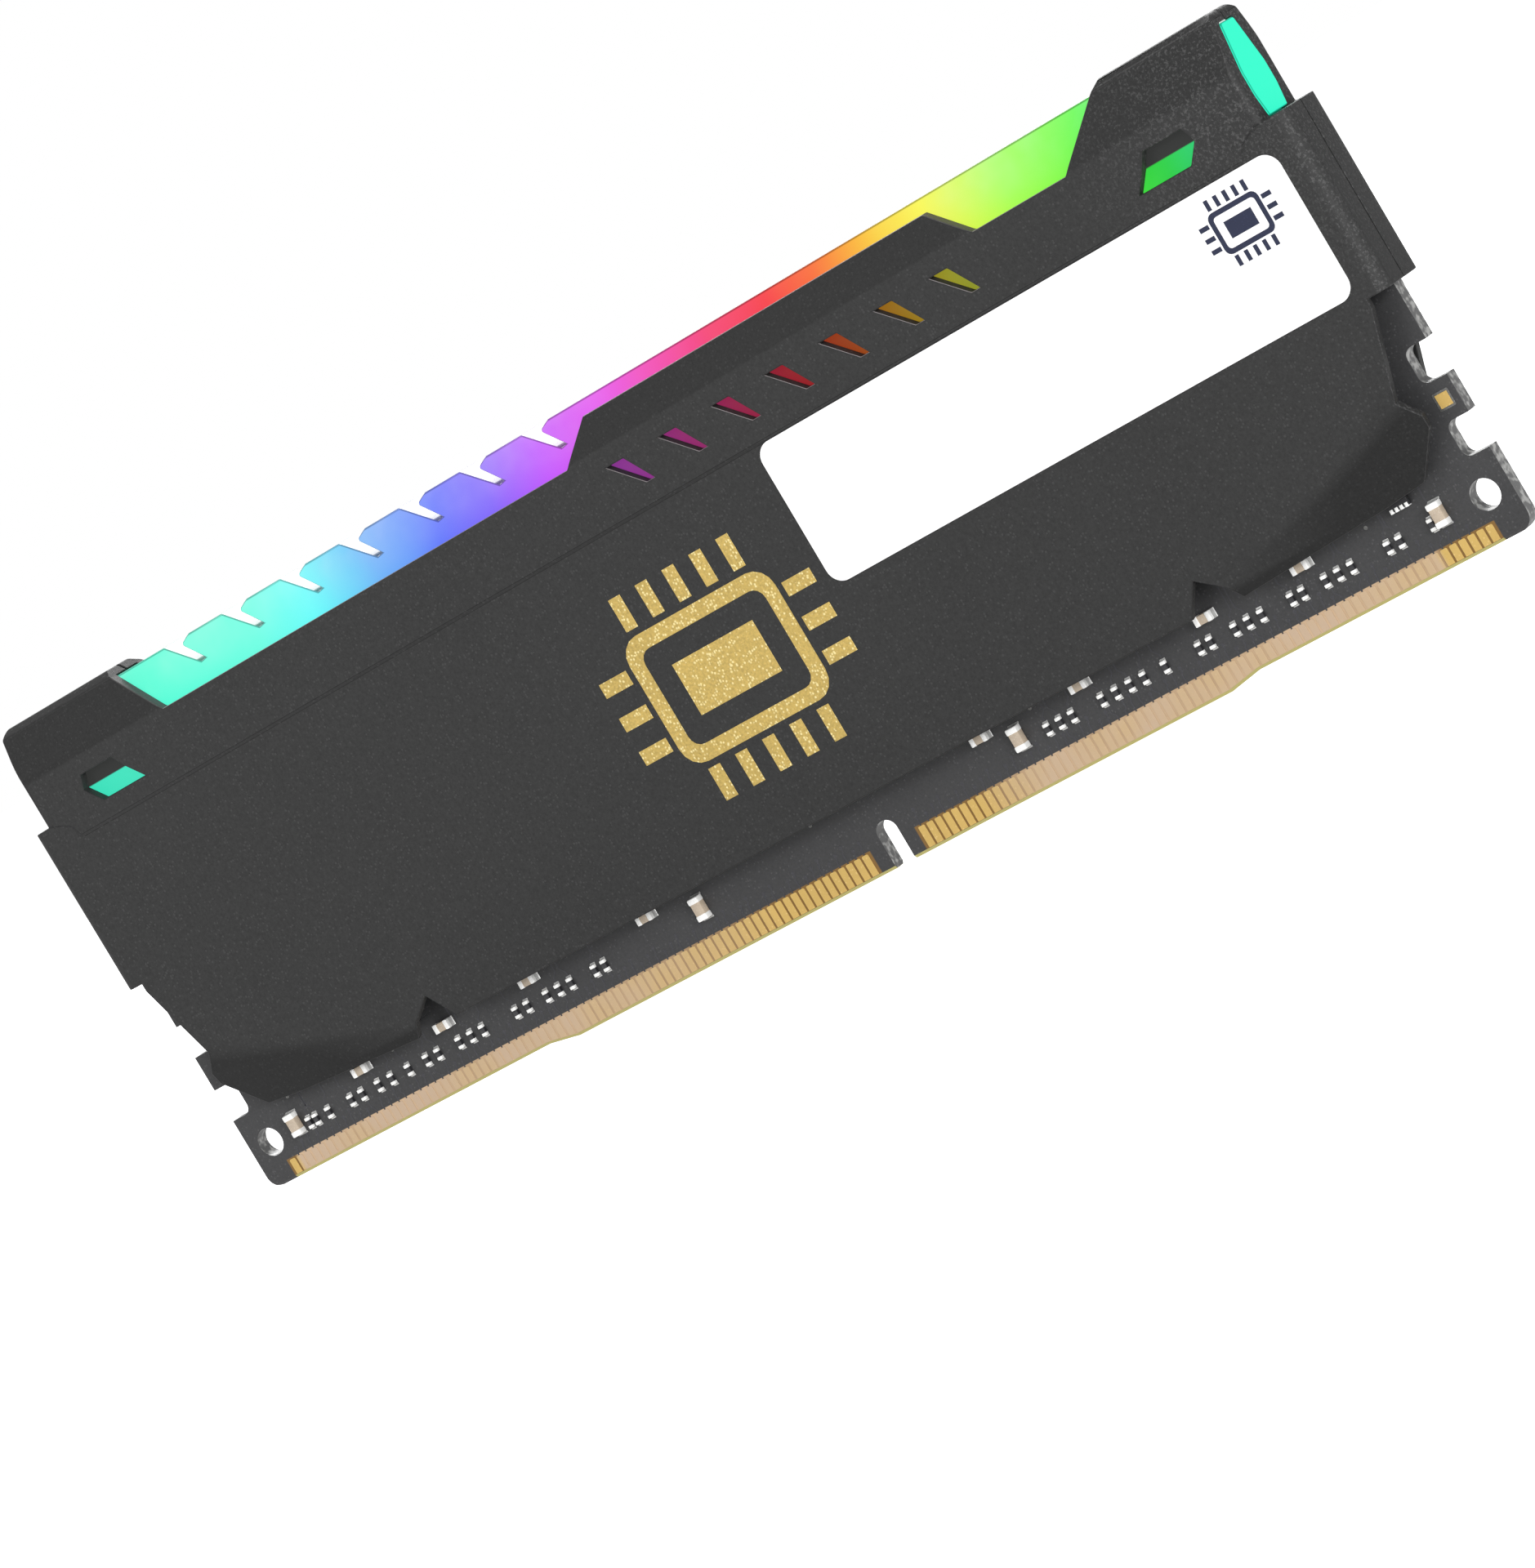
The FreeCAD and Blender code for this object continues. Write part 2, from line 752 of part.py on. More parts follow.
led_z = bar_low_z - led_gap_to_bar - led_height / 2.0
led_size = (led_width, led_depth, led_height)
for led_number, led_x in enumerate(led_xs(), start=1):
    save("led_" + str(led_number), part_on_board(led_x, led_z, led_size, -1))
led_capacitor_offset = led_width / 2.0 + led_capacitor_gap
led_capacitor_xs = [x + led_capacitor_offset for x in led_xs()]
save("led_capacitors", [part_on_board(x, led_z, small_resistor, -1) for x in led_capacitor_xs])

save("config_memory", part_on_board(0.0, chip_center_z, config_memory_size, -1))
controller_z = led_z - led_height / 2.0 - controller_gap_to_leds - controller_size[2] / 2.0
save("light_controller", part_on_board(0.0, controller_z, controller_size, -1))
large_xs = large_capacitor_xs
save("capacitors_large", [part_on_board(x, large_capacitor_z, large_capacitor, -1) for x in large_xs])
medium_xs = medium_capacitor_xs
save("capacitors_medium", [part_on_board(x, medium_capacitor_z, medium_capacitor, -1) for x in medium_xs])

resistor_xs = []
for group_x, group_count, group_pitch in resistor_groups:
    for number in range(group_count):
        resistor_xs.append(group_x + number * group_pitch)
save("resistors_front", [part_on_board(x, small_resistor_z, small_resistor, -1) for x in resistor_xs])
save("resistor_network", part_on_board(network_x, network_z, network_size, -1))

back_xs = []
for number in range(back_resistor_count):
    back_xs.append(back_resistor_start_x + number * back_resistor_pitch)
    back_xs.append(-back_resistor_start_x - number * back_resistor_pitch)
save("resistors_back", [part_on_board(x, small_resistor_z, small_resistor, 1) for x in back_xs])

tab_middle_z = (lower_latch_notch_z + latch_notch_height + upper_latch_notch_z) / 2.0
test_pad = (test_pad_size, contact_thickness, test_pad_size)
save("test_pad", part_on_board(half_length - test_pad_from_end, tab_middle_z, test_pad, -1))
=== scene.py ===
# A desktop memory module with heat spreader shells and a lit top bar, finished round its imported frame.
# Everything is in metres, +X along the contacts, -Y the front face, +Z up.
import math

import bmesh
import bpy
import numpy as np
from mathutils import Matrix, Vector


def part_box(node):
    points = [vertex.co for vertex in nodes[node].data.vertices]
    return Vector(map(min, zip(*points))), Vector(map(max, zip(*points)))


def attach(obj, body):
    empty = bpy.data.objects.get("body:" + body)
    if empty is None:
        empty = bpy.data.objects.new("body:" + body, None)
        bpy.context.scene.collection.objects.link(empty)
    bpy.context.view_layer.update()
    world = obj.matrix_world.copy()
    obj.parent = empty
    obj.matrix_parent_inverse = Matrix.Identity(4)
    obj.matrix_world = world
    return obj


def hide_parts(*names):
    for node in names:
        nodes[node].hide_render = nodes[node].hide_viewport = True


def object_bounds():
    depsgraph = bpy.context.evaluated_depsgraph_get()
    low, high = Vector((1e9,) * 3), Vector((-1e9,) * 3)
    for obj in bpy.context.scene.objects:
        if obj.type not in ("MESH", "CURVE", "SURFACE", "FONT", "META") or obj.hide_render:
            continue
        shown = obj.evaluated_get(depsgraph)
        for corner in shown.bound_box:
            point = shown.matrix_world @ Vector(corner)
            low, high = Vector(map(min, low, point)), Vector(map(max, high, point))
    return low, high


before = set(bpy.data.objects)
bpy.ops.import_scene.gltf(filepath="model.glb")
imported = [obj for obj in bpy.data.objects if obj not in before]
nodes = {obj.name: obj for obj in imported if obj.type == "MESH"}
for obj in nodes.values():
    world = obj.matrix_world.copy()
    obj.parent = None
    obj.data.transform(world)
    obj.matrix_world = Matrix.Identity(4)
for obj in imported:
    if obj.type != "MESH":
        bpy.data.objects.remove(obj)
frameLow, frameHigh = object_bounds()
mm = 0.001
print("frame loaded with", len(nodes), "nodes")

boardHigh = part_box("circuit_board")[1]
labelLow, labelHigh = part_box("label_front")
halfBoard = boardHigh.y
faceY = -labelHigh.y  # the label lies on the flat lower face of the shell
front, back = -1, 1
pureWhite = (1.0, 1.0, 1.0, 1.0)


# colours, lengths and the wiring of shader nodes

def screen(red, green, blue):
    # screen values 0-255 as the linear colour a shader reads
    value = np.array([red, green, blue]) / 255
    linear = np.where(value <= 0.04045, value / 12.92, ((value + 0.055) / 1.055) ** 2.4)
    return tuple(float(part) for part in linear) + (1.0,)


def camelName(words):
    return words[0].lower() + "".join(word.title() for word in words[1:])


def inMm(*values):
    return tuple(value * mm for value in values)


def feed(tree, socket, value):
    # a socket takes either a wire or a plain value
    if isinstance(value, bpy.types.NodeSocket):
        tree.links.new(value, socket)
    else:
        socket.default_value = value


def fill(tree, node, values):
    # gives a node's named sockets their values
    for name, value in values.items():
        feed(tree, node.inputs[name], value)


def added(tree, kind, *values):
    # a new shader node with its first sockets given in order
    node = tree.nodes.new("ShaderNode" + kind)
    for socket, value in zip(node.inputs, values):
        feed(tree, socket, value)
    return node


def calc(tree, operation, first, second=0.0, clamp=False):
    node = added(tree, "Math", first, second)
    node.operation = operation
    node.use_clamp = clamp
    return node.outputs[0]


def times(tree, first, *others):
    # the product of several values
    for other in others:
        first = calc(tree, "MULTIPLY", first, other)
    return first


def inverse(tree, value):
    return calc(tree, "SUBTRACT", 1.0, value)


def unsigned(tree, value):
    return calc(tree, "ABSOLUTE", value)


def ramped(tree, value, low, high, start=0.0, end=1.0):
    # value between low and high, stretched to run from start to end
    return added(tree, "MapRange", value, low, high, start, end).outputs[0]


def fading(tree, value, low, high):
    return ramped(tree, value, low, high, 1.0, 0.0)


def within(tree, value, before, full, leaving, gone):
    # nothing up to before, whole from full to leaving, and nothing again past gone
    return times(tree, ramped(tree, value, before, full), fading(tree, value, leaving, gone))


def mixed(tree, share, first, second):
    node = added(tree, "Mix", share)
    node.data_type = "RGBA"
    feed(tree, node.inputs[6], first)
    feed(tree, node.inputs[7], second)
    return node.outputs[2]


def scaled(tree, color, factor):
    node = added(tree, "VectorMath", color)
    node.operation = "SCALE"
    feed(tree, node.inputs[3], factor)
    return node.outputs[0]


def noise(tree, vector, scale, detail=2.0, roughness=0.5):
    node = added(tree, "TexNoise")
    fill(tree, node, {"Vector": vector, "Scale": scale, "Detail": detail, "Roughness": roughness})
    return node.outputs["Fac"]


def splitAxes(tree, vector):
    return added(tree, "SeparateXYZ", vector).outputs


def openGroup(name, inputs, outputs):
    # an empty shader group with named sockets; returns the group, its input and output nodes
    group = bpy.data.node_groups.new(name, "ShaderNodeTree")
    for socketName, kind, default in inputs:
        socket = group.interface.new_socket(socketName, in_out="INPUT", socket_type="NodeSocket" + kind)
        if default is not None:
            socket.default_value = default
    for socketName, kind in outputs:
        group.interface.new_socket(socketName, in_out="OUTPUT", socket_type="NodeSocket" + kind)
    return group, group.nodes.new("NodeGroupInput"), group.nodes.new("NodeGroupOutput")


grainDefaults = {
    "Fleck Share": 0.0, "Grain Scale": 4000.0, "Grain Depth": 0.2, "Drift Scale": 60.0, "Drift": 0.2,
    "Roughness": 0.5, "Roughness Range": 0.15,
}
fleckShape = {"core": 0.25, "rim": 0.55}  # a fleck is whole inside its core and gone past its rim


def buildGrain():
    # fine noise gives height, slow noise drifts colour and roughness, and some grains turn into flecks
    sockets = [("Vector", "Vector", None), ("Color", "Color", pureWhite), ("Fleck Color", "Color", pureWhite)]
    sockets += [(name, "Float", value) for name, value in grainDefaults.items()]
    outputs = [("Color", "Color"), ("Roughness", "Float"), ("Height", "Float")]
    group, given, made = openGroup("surfaceGrain", sockets, outputs)
    at = given.outputs
    fine = noise(group, at["Vector"], at["Grain Scale"], 2.0, 0.6)
    slow = noise(group, at["Vector"], at["Drift Scale"], 3.0, 0.55)
    slowSigned = calc(group, "SUBTRACT", slow, 0.5)
    fineSigned = calc(group, "SUBTRACT", fine, 0.5)
    slowPart = times(group, slowSigned, at["Drift"])
    finePart = times(group, fineSigned, at["Grain Depth"])
    level = calc(group, "ADD", calc(group, "ADD", slowPart, finePart), 1.0)
    cells = added(group, "TexVoronoi")
    fill(group, cells, {"Vector": at["Vector"], "Scale": at["Grain Scale"]})
    random = added(group, "SeparateColor", cells.outputs["Color"]).outputs[0]
    chosen = calc(group, "GREATER_THAN", random, inverse(group, at["Fleck Share"]))
    core = fading(group, cells.outputs["Distance"], fleckShape["core"], fleckShape["rim"])
    fleck = times(group, chosen, core)
    color = mixed(group, fleck, scaled(group, at["Color"], level), at["Fleck Color"])
    roughDrift = times(group, slowSigned, at["Roughness Range"])
    rough = calc(group, "ADD", at["Roughness"], roughDrift, clamp=True)
    fill(group, made, {"Color": color, "Roughness": rough, "Height": calc(group, "ADD", fine, fleck)})
    return group


# where the plating is pale along the two rows of contacts: before, full, fading, gone
paleStretch = {"right": inMm(13.0, 20.0, 58.2, 59.0), "left": inMm(-62.9, -62.4, -30.0, -8.0), "mottling": 190.0}


def buildRowMiddle():
    # one along the pale stretch of each row of contacts, fading to nothing at its ends, with slow mottling
    group, given, made = openGroup("rowMiddle", [("Vector", "Vector", None)], [("Mask", "Float")])
    x = splitAxes(group, given.outputs["Vector"])[0]
    right = within(group, x, *paleStretch["right"])
    left = within(group, x, *paleStretch["left"])
    mottled = noise(group, given.outputs["Vector"], paleStretch["mottling"])
    mottling = ramped(group, mottled, 0.3, 0.6, 0.65, 1.0)
    feed(group, made.inputs["Mask"], times(group, calc(group, "ADD", right, left, clamp=True), mottling))
    return group


grainGroup = buildGrain()
rowMiddleGroup = buildRowMiddle()


def placed(tree, group, vector, **values):
    # one copy of a group in a material, with its own values
    node = tree.nodes.new("ShaderNodeGroup")
    node.node_tree = group
    fill(tree, node, {"Vector": vector, **values})
    return node.outputs


materials = {}


def startMaterial(name, look):
    # a principled material with fine grain and drift from the look's values, and its bump; a look's
    # color and fleck are screen values
    materials[name] = material = bpy.data.materials.new(name)
    material.use_nodes = True
    tree = material.node_tree
    tree.nodes.clear()
    output = added(tree, "OutputMaterial")
    shader = added(tree, "BsdfPrincipled")
    tree.links.new(shader.outputs["BSDF"], output.inputs["Surface"])
    where = added(tree, "TexCoord").outputs
    values = {"Color": screen(*look["color"]), "Fleck Color": screen(*look.get("fleck", look["color"]))}
    for socketName, usual in grainDefaults.items():
        values[socketName] = look.get(camelName(socketName.split()), usual)
    grain = placed(tree, grainGroup, where["Object"], **values)
    bump = added(tree, "Bump")
    fill(tree, bump, {
        "Strength": look.get("bump", 0.5), "Distance": look.get("grainHeight", 0.01) * mm,
        "Height": grain["Height"],
    })
    fill(tree, shader, {
        "Base Color": grain["Color"], "Roughness": grain["Roughness"], "Normal": bump.outputs["Normal"],
        "Metallic": look.get("metallic", 0.0), "Specular IOR Level": look.get("specular", 0.5),
        "Coat Weight": look.get("coat", 0.0), "Coat Roughness": 0.2,
    })
    return tree, shader, where, grain


# finishes

coatLook = {
    "color": (49, 49, 49), "fleck": (61, 61, 61), "fleckShare": 0.16,
    "grainScale": 4400.0, "grainDepth": 0.8, "grainHeight": 0.03, "bump": 0.4,
    "drift": 0.22, "roughness": 0.56, "roughnessRange": 0.2, "specular": 0.22,
    # painted shade: how much colour the bent corners, the leaning top and the flange's end keep, darker by how
    # their faces turn
    "cornerShadeLevel": 0.46, "leanShadeLevel": 0.74, "endShadeLevel": 0.72,
    # what counts as each, by how far a face turns towards x (end, bend, sideways), y (flat, cut,
    # slanted) or z (down, leaning, upward)
    "down": (-0.16, -0.08), "leaning": (0.02, 0.06), "end": (0.95, 0.99), "flat": (0.9, 0.94),
    "bend": (0.12, 0.3, 0.9, 0.98), "cut": (0.45, 0.92), "slanted": (0.15, 0.3), "upward": (0.2, 0.5),
    "sideways": (0.15, 0.4),
    # pale speckles growing along x and z, and along the flange's bend as a painted highlight
    "speckleAndBendHighlight": screen(128, 128, 128), "speckleScale": 4200.0, "speckles": (0.52, 0.66), "speckleShare": 0.26,
    "speckleAlong": inMm(46.0, 62.0), "speckleUp": inMm(20.0, 38.0),
    # bare metal on the cut edges, painted only where they face up and so partly a painted highlight: its share,
    # less where an edge faces sideways, and where it shows
    "worn": screen(190, 182, 184), "wornShare": 0.7, "bareEdgeAndHighlightEndShare": 0.12,
    "slitRims": inMm(35.8, 35.9, 38.5, 38.7), "slitsEnd": inMm(45.0, 46.0),
    "sills": inMm(38.6, 39.0, 44.2, 44.4), "sillsEnd": inMm(55.5, 56.0),
}

looks = {
    "mouldedBlack": {
        "color": (40, 40, 42), "fleck": (66, 66, 70), "fleckShare": 0.08,
        "grainScale": 9000.0, "grainHeight": 0.006, "roughness": 0.55, "specular": 0.4,
    },
    "ceramicTan": {
        "color": (188, 172, 152), "fleck": (206, 194, 178), "fleckShare": 0.2,
        "grainScale": 12000.0, "grainHeight": 0.004, "drift": 0.35, "driftScale": 900.0,
        "roughness": 0.42,
    },
    "resistorFilm": {
        "color": (34, 34, 38), "fleck": (60, 60, 66), "fleckShare": 0.1,
        "grainScale": 14000.0, "grainHeight": 0.003, "roughness": 0.3, "coat": 0.5,
    },
    "tinnedEnd": {
        "color": (250, 250, 248), "fleck": (222, 222, 218), "fleckShare": 0.2,
        "grainScale": 16000.0, "grainHeight": 0.004, "driftScale": 1500.0, "drift": 0.25,
        "roughness": 0.34, "roughnessRange": 0.2, "metallic": 0.1,
    },
    "solderFlow": {
        "color": (214, 214, 212), "fleck": (180, 180, 180), "fleckShare": 0.1,
        "grainScale": 9000.0, "grainHeight": 0.006, "driftScale": 1200.0, "drift": 0.3,
        "roughness": 0.25, "roughnessRange": 0.2, "metallic": 0.35,
    },
    "siliconePad": {
        "color": (118, 124, 132), "fleck": (150, 156, 162), "fleckShare": 0.25,
        "grainScale": 5200.0, "grainHeight": 0.03, "roughness": 0.75, "specular": 0.3,
    },
    "labelPaper": {
        "color": (250, 250, 250), "fleck": (255, 255, 255), "fleckShare": 0.2,
        "grainScale": 5200.0, "grainDepth": 0.03, "grainHeight": 0.004, "bump": 0.3,
        "driftScale": 50.0, "drift": 0.02, "roughness": 0.45, "specular": 0.4,
    },
    "labelInk": {
        "color": (24, 31, 60), "fleck": (34, 42, 74), "fleckShare": 0.15,
        "grainScale": 9000.0, "grainHeight": 0.003, "roughness": 0.4,
    },
    "glitterGold": {
        "color": (196, 168, 92), "fleck": (244, 226, 160), "fleckShare": 0.42,
        "grainScale": 4200.0, "grainDepth": 0.9, "grainHeight": 0.04, "bump": 0.8,
        "driftScale": 420.0, "drift": 0.3, "roughness": 0.45, "roughnessRange": 0.3, "metallic": 0.3,
    },
    "ledHousing": {
        "color": (232, 232, 228), "fleck": (244, 244, 240), "fleckShare": 0.1,
        "grainScale": 9000.0, "grainHeight": 0.004, "roughness": 0.35,
    },
    "maskedCopper": {
        "color": (58, 58, 62), "fleck": (74, 74, 78), "fleckShare": 0.12,
        "grainScale": 9000.0, "grainHeight": 0.004, "roughness": 0.36, "specular": 0.45,
    },
    "viaTin": {
        "color": (122, 122, 120), "fleck": (170, 170, 166), "fleckShare": 0.2,
        "grainScale": 16000.0, "grainHeight": 0.004, "roughness": 0.4, "metallic": 0.8,
    },
}
for name, look in looks.items():
    startMaterial(name, look)


def coatMaterial():
    # powder coat with painted shade on the bent corners, the leaning top and the flange's end; pale speckles
    # towards one end, partly a painted highlight along the flange's bend; and a pale bare-metal line on the
    # upward cut edges of the windows and slits, partly a painted highlight
    look = coatLook
    tree, shader, where, grain = startMaterial("powderCoat", look)
    x, _, z = splitAxes(tree, where["Object"])
    facing = splitAxes(tree, where["Normal"])
    outward, endward, fromMiddle = unsigned(tree, facing[1]), unsigned(tree, facing[0]), unsigned(tree, x)
    # painted shade: the bent corners, the leaning top and the flange's end are darkened by how their faces turn
    corners = ramped(tree, facing[2], *look["down"], look["cornerShadeLevel"], 1.0)
    leaning = ramped(tree, facing[2], *look["leaning"], 1.0, look["leanShadeLevel"])
    flangeEndShade = ramped(tree, facing[0], *look["end"], 1.0, look["endShadeLevel"])
    flat = ramped(tree, outward, *look["flat"])
    color = scaled(tree, grain["Color"], mixed(tree, flat, flangeEndShade, times(tree, corners, leaning)))
    speckle = ramped(tree, noise(tree, where["Object"], look["speckleScale"], 3.0, 0.7), *look["speckles"])
    byEnd = ramped(tree, x, *look["speckleAlong"])
    raised = ramped(tree, z, *look["speckleUp"], 0.1, 1.0)
    # the speckles along the bend are a painted highlight; higher up they are mottling
    bend = within(tree, facing[0], *look["bend"])
    speckleAndBendHighlight = times(tree, speckle, byEnd, calc(tree, "MAXIMUM", raised, bend), look["speckleShare"])
    color = mixed(tree, speckleAndBendHighlight, color, look["speckleAndBendHighlight"])
    # pale bare metal painted on the upward cut edges, partly a painted highlight
    cutEdge = times(tree, fading(tree, outward, *look["cut"]), ramped(tree, facing[2], *look["upward"]))
    onSlits = times(tree, within(tree, z, *look["slitRims"]), fading(tree, fromMiddle, *look["slitsEnd"]))
    slanted = ramped(tree, outward, *look["slanted"])
    color = mixed(tree, times(tree, cutEdge, slanted, onSlits, look["wornShare"]), color, look["worn"])
    onSills = times(tree, within(tree, z, *look["sills"]), fading(tree, fromMiddle, *look["sillsEnd"]))
    level = ramped(tree, endward, *look["sideways"], look["wornShare"], look["bareEdgeAndHighlightEndShare"])
    color = mixed(tree, times(tree, cutEdge, onSills, level), color, look["worn"])
    fill(tree, shader, {"Base Color": color})


boardLook = {
    "color": (61, 61, 62), "fleck": (77, 77, 78), "fleckShare": 0.12,
    "grainScale": 5200.0, "grainDepth": 0.5, "grainHeight": 0.01, "driftScale": 160.0, "drift": 0.3,
    "roughness": 0.42, "roughnessRange": 0.2, "specular": 0.3,
    # bare board between the contacts, in the rows' ends and in their pale stretch
    "laminate": screen(128, 96, 50), "paleLaminate": screen(200, 172, 141),
    "bevel": screen(178, 170, 106),  # bevelled lower edge
    # sawn and drilled walls, and the size of their tool marks
    "routedDark": screen(86, 86, 86), "routedPale": screen(150, 150, 148), "markScale": 1900.0,
    # what counts as a wall, a bevel or a face turned down, by how far it turns towards y or z
    "wall": (0.3, 0.5), "sloping": (0.9, 0.97), "down": (-0.6, -0.25), "marks": (0.45, 0.65),
    # where the bare rows stop: their height, their ends, and the distance from the middle of the key
    "bareTop": inMm(2.2, 2.25), "rowEnd": inMm(63.85, 63.95), "keyX": 4.25 * mm, "keySide": inMm(2.3, 2.4),
}


def boardMaterial():
    # solder mask on the faces, bare laminate between the contacts, pale routed walls with tool marks
    look = boardLook
    tree, shader, where, grain = startMaterial("boardMask", look)
    x, _, z = splitAxes(tree, where["Object"])
    facing = splitAxes(tree, where["Normal"])
    outward = unsigned(tree, facing[1])
    wall = fading(tree, outward, *look["wall"])
    slopes = times(tree, fading(tree, outward, *look["sloping"]), fading(tree, facing[2], *look["down"]))
    inRow = fading(tree, unsigned(tree, x), *look["rowEnd"])
    offKey = ramped(tree, unsigned(tree, calc(tree, "SUBTRACT", x, look["keyX"])), *look["keySide"])
    below = fading(tree, z, *look["bareTop"])
    middle = placed(tree, rowMiddleGroup, where["Object"])["Mask"]
    laminate = mixed(tree, middle, look["laminate"], look["paleLaminate"])
    color = mixed(tree, times(tree, inRow, offKey, below), grain["Color"], laminate)
    marks = ramped(tree, noise(tree, where["Object"], look["markScale"], 1.0), *look["marks"])
    color = mixed(tree, wall, color, mixed(tree, marks, look["routedDark"], look["routedPale"]))
    color = mixed(tree, times(tree, slopes, inRow, below), color, look["bevel"])
    fill(tree, shader, {"Base Color": color})


contactLook = {
    "color": (206, 172, 98), "fleck": (222, 190, 122), "fleckShare": 0.1,
    "grainScale": 6000.0, "grainDepth": 0.12, "grainHeight": 0.004, "driftScale": 300.0,
    "roughness": 0.4, "metallic": 0.15, "specular": 0.4,
    "pale": screen(196, 171, 145),  # thinner plating in the pale stretch of each row
}


def contactMaterial():
    # hard gold, paler along one stretch of each row of contacts
    tree, shader, where, grain = startMaterial("contactGold", contactLook)
    middle = placed(tree, rowMiddleGroup, where["Object"])["Mask"]
    color = mixed(tree, middle, grain["Color"], contactLook["pale"])
    fill(tree, shader, {"Base Color": color})


barLook = {
    # place along the bar in mm and the screen colour shown there
    "stops": [
        (-65.5, (52, 238, 196)), (-50.0, (86, 255, 216)), (-38.0, (112, 255, 228)),
        (-31.5, (108, 254, 252)), (-24.0, (116, 184, 250)), (-16.5, (104, 124, 253)),
        (-11.0, (136, 108, 252)), (-5.0, (196, 92, 254)), (2.0, (232, 96, 240)),
        (8.0, (243, 80, 186)), (14.0, (246, 68, 122)), (20.0, (248, 62, 72)),
        (25.0, (250, 112, 50)), (31.0, (252, 200, 56)), (36.0, (250, 248, 76)),
        (44.0, (168, 255, 84)), (52.0, (84, 250, 72)), (56.0, (52, 226, 78)),
        (60.0, (54, 226, 140)), (64.9, (48, 253, 207)),
    ],
    "color": (149, 149, 149), "grainScale": 2600.0, "grainHeight": 0.006, "driftScale": 160.0, "drift": 0.1,
    "roughness": 0.45, "specular": 0.12,
    "glow": 0.9, "body": 0.08,  # light given off, and the share of its colour that the plastic itself has
    "wander": 2.4 * mm, "wanderScale": 130.0,  # how far the colours stray along the bar
    # whitening towards the top, weaker over the narrow window and gone by the end caps
    "topWhite": 0.14, "whitens": inMm(40.2, 44.0), "cloudScale": 260.0, "cloud": (0.35, 0.75, 0.5, 1.5),
    "stripWhite": 0.15, "strip": inMm(-4.0, 4.0, 32.0, 40.0), "capSide": inMm(60.0, 62.0),
    # brightness in the windows and caps is whole; behind the slits and, further out, the slots it is lowered as
    # painted shade
    "slitShadeLevel": 0.33, "slotShadeLevel": 0.84, "slotSide": inMm(48.0, 51.0),
    "windowLow": inMm(39.2, 39.8), "capEnd": inMm(64.75, 64.85),
    # painted shade dimming the broken edges and notch tips, pale cut walls as a painted highlight, and their
    # crowns along the top
    "edgeShadeLevel": 0.5, "tipShadeLevel": 0.4, "tipTop": inMm(41.9, 42.05), "wallHighlight": 0.85, "crownHighlight": 0.35,
    # what counts as each, by how far a face turns outwards or up
    "broad": (0.86, 0.96), "cutWall": (0.2, 0.3), "crown": (0.9, 0.97),
    "hood": screen(54, 55, 54), "hoodLow": inMm(37.42, 37.52),  # shaded top of the slots
}


def barRainbow(tree, along, stops):
    # a colour ramp over the stops, read at a place in metres
    first, last = stops[0][0], stops[-1][0]
    rainbow = tree.nodes.new("ShaderNodeValToRGB")
    marks = rainbow.color_ramp.elements
    for index, (place, color) in enumerate(stops):
        at = (place - first) / (last - first)
        mark = marks[index] if index < 2 else marks.new(at)
        mark.position = at
        mark.color = screen(*color)
    tree.links.new(ramped(tree, along, first * mm, last * mm), rainbow.inputs[0])
    return rainbow.outputs[0]


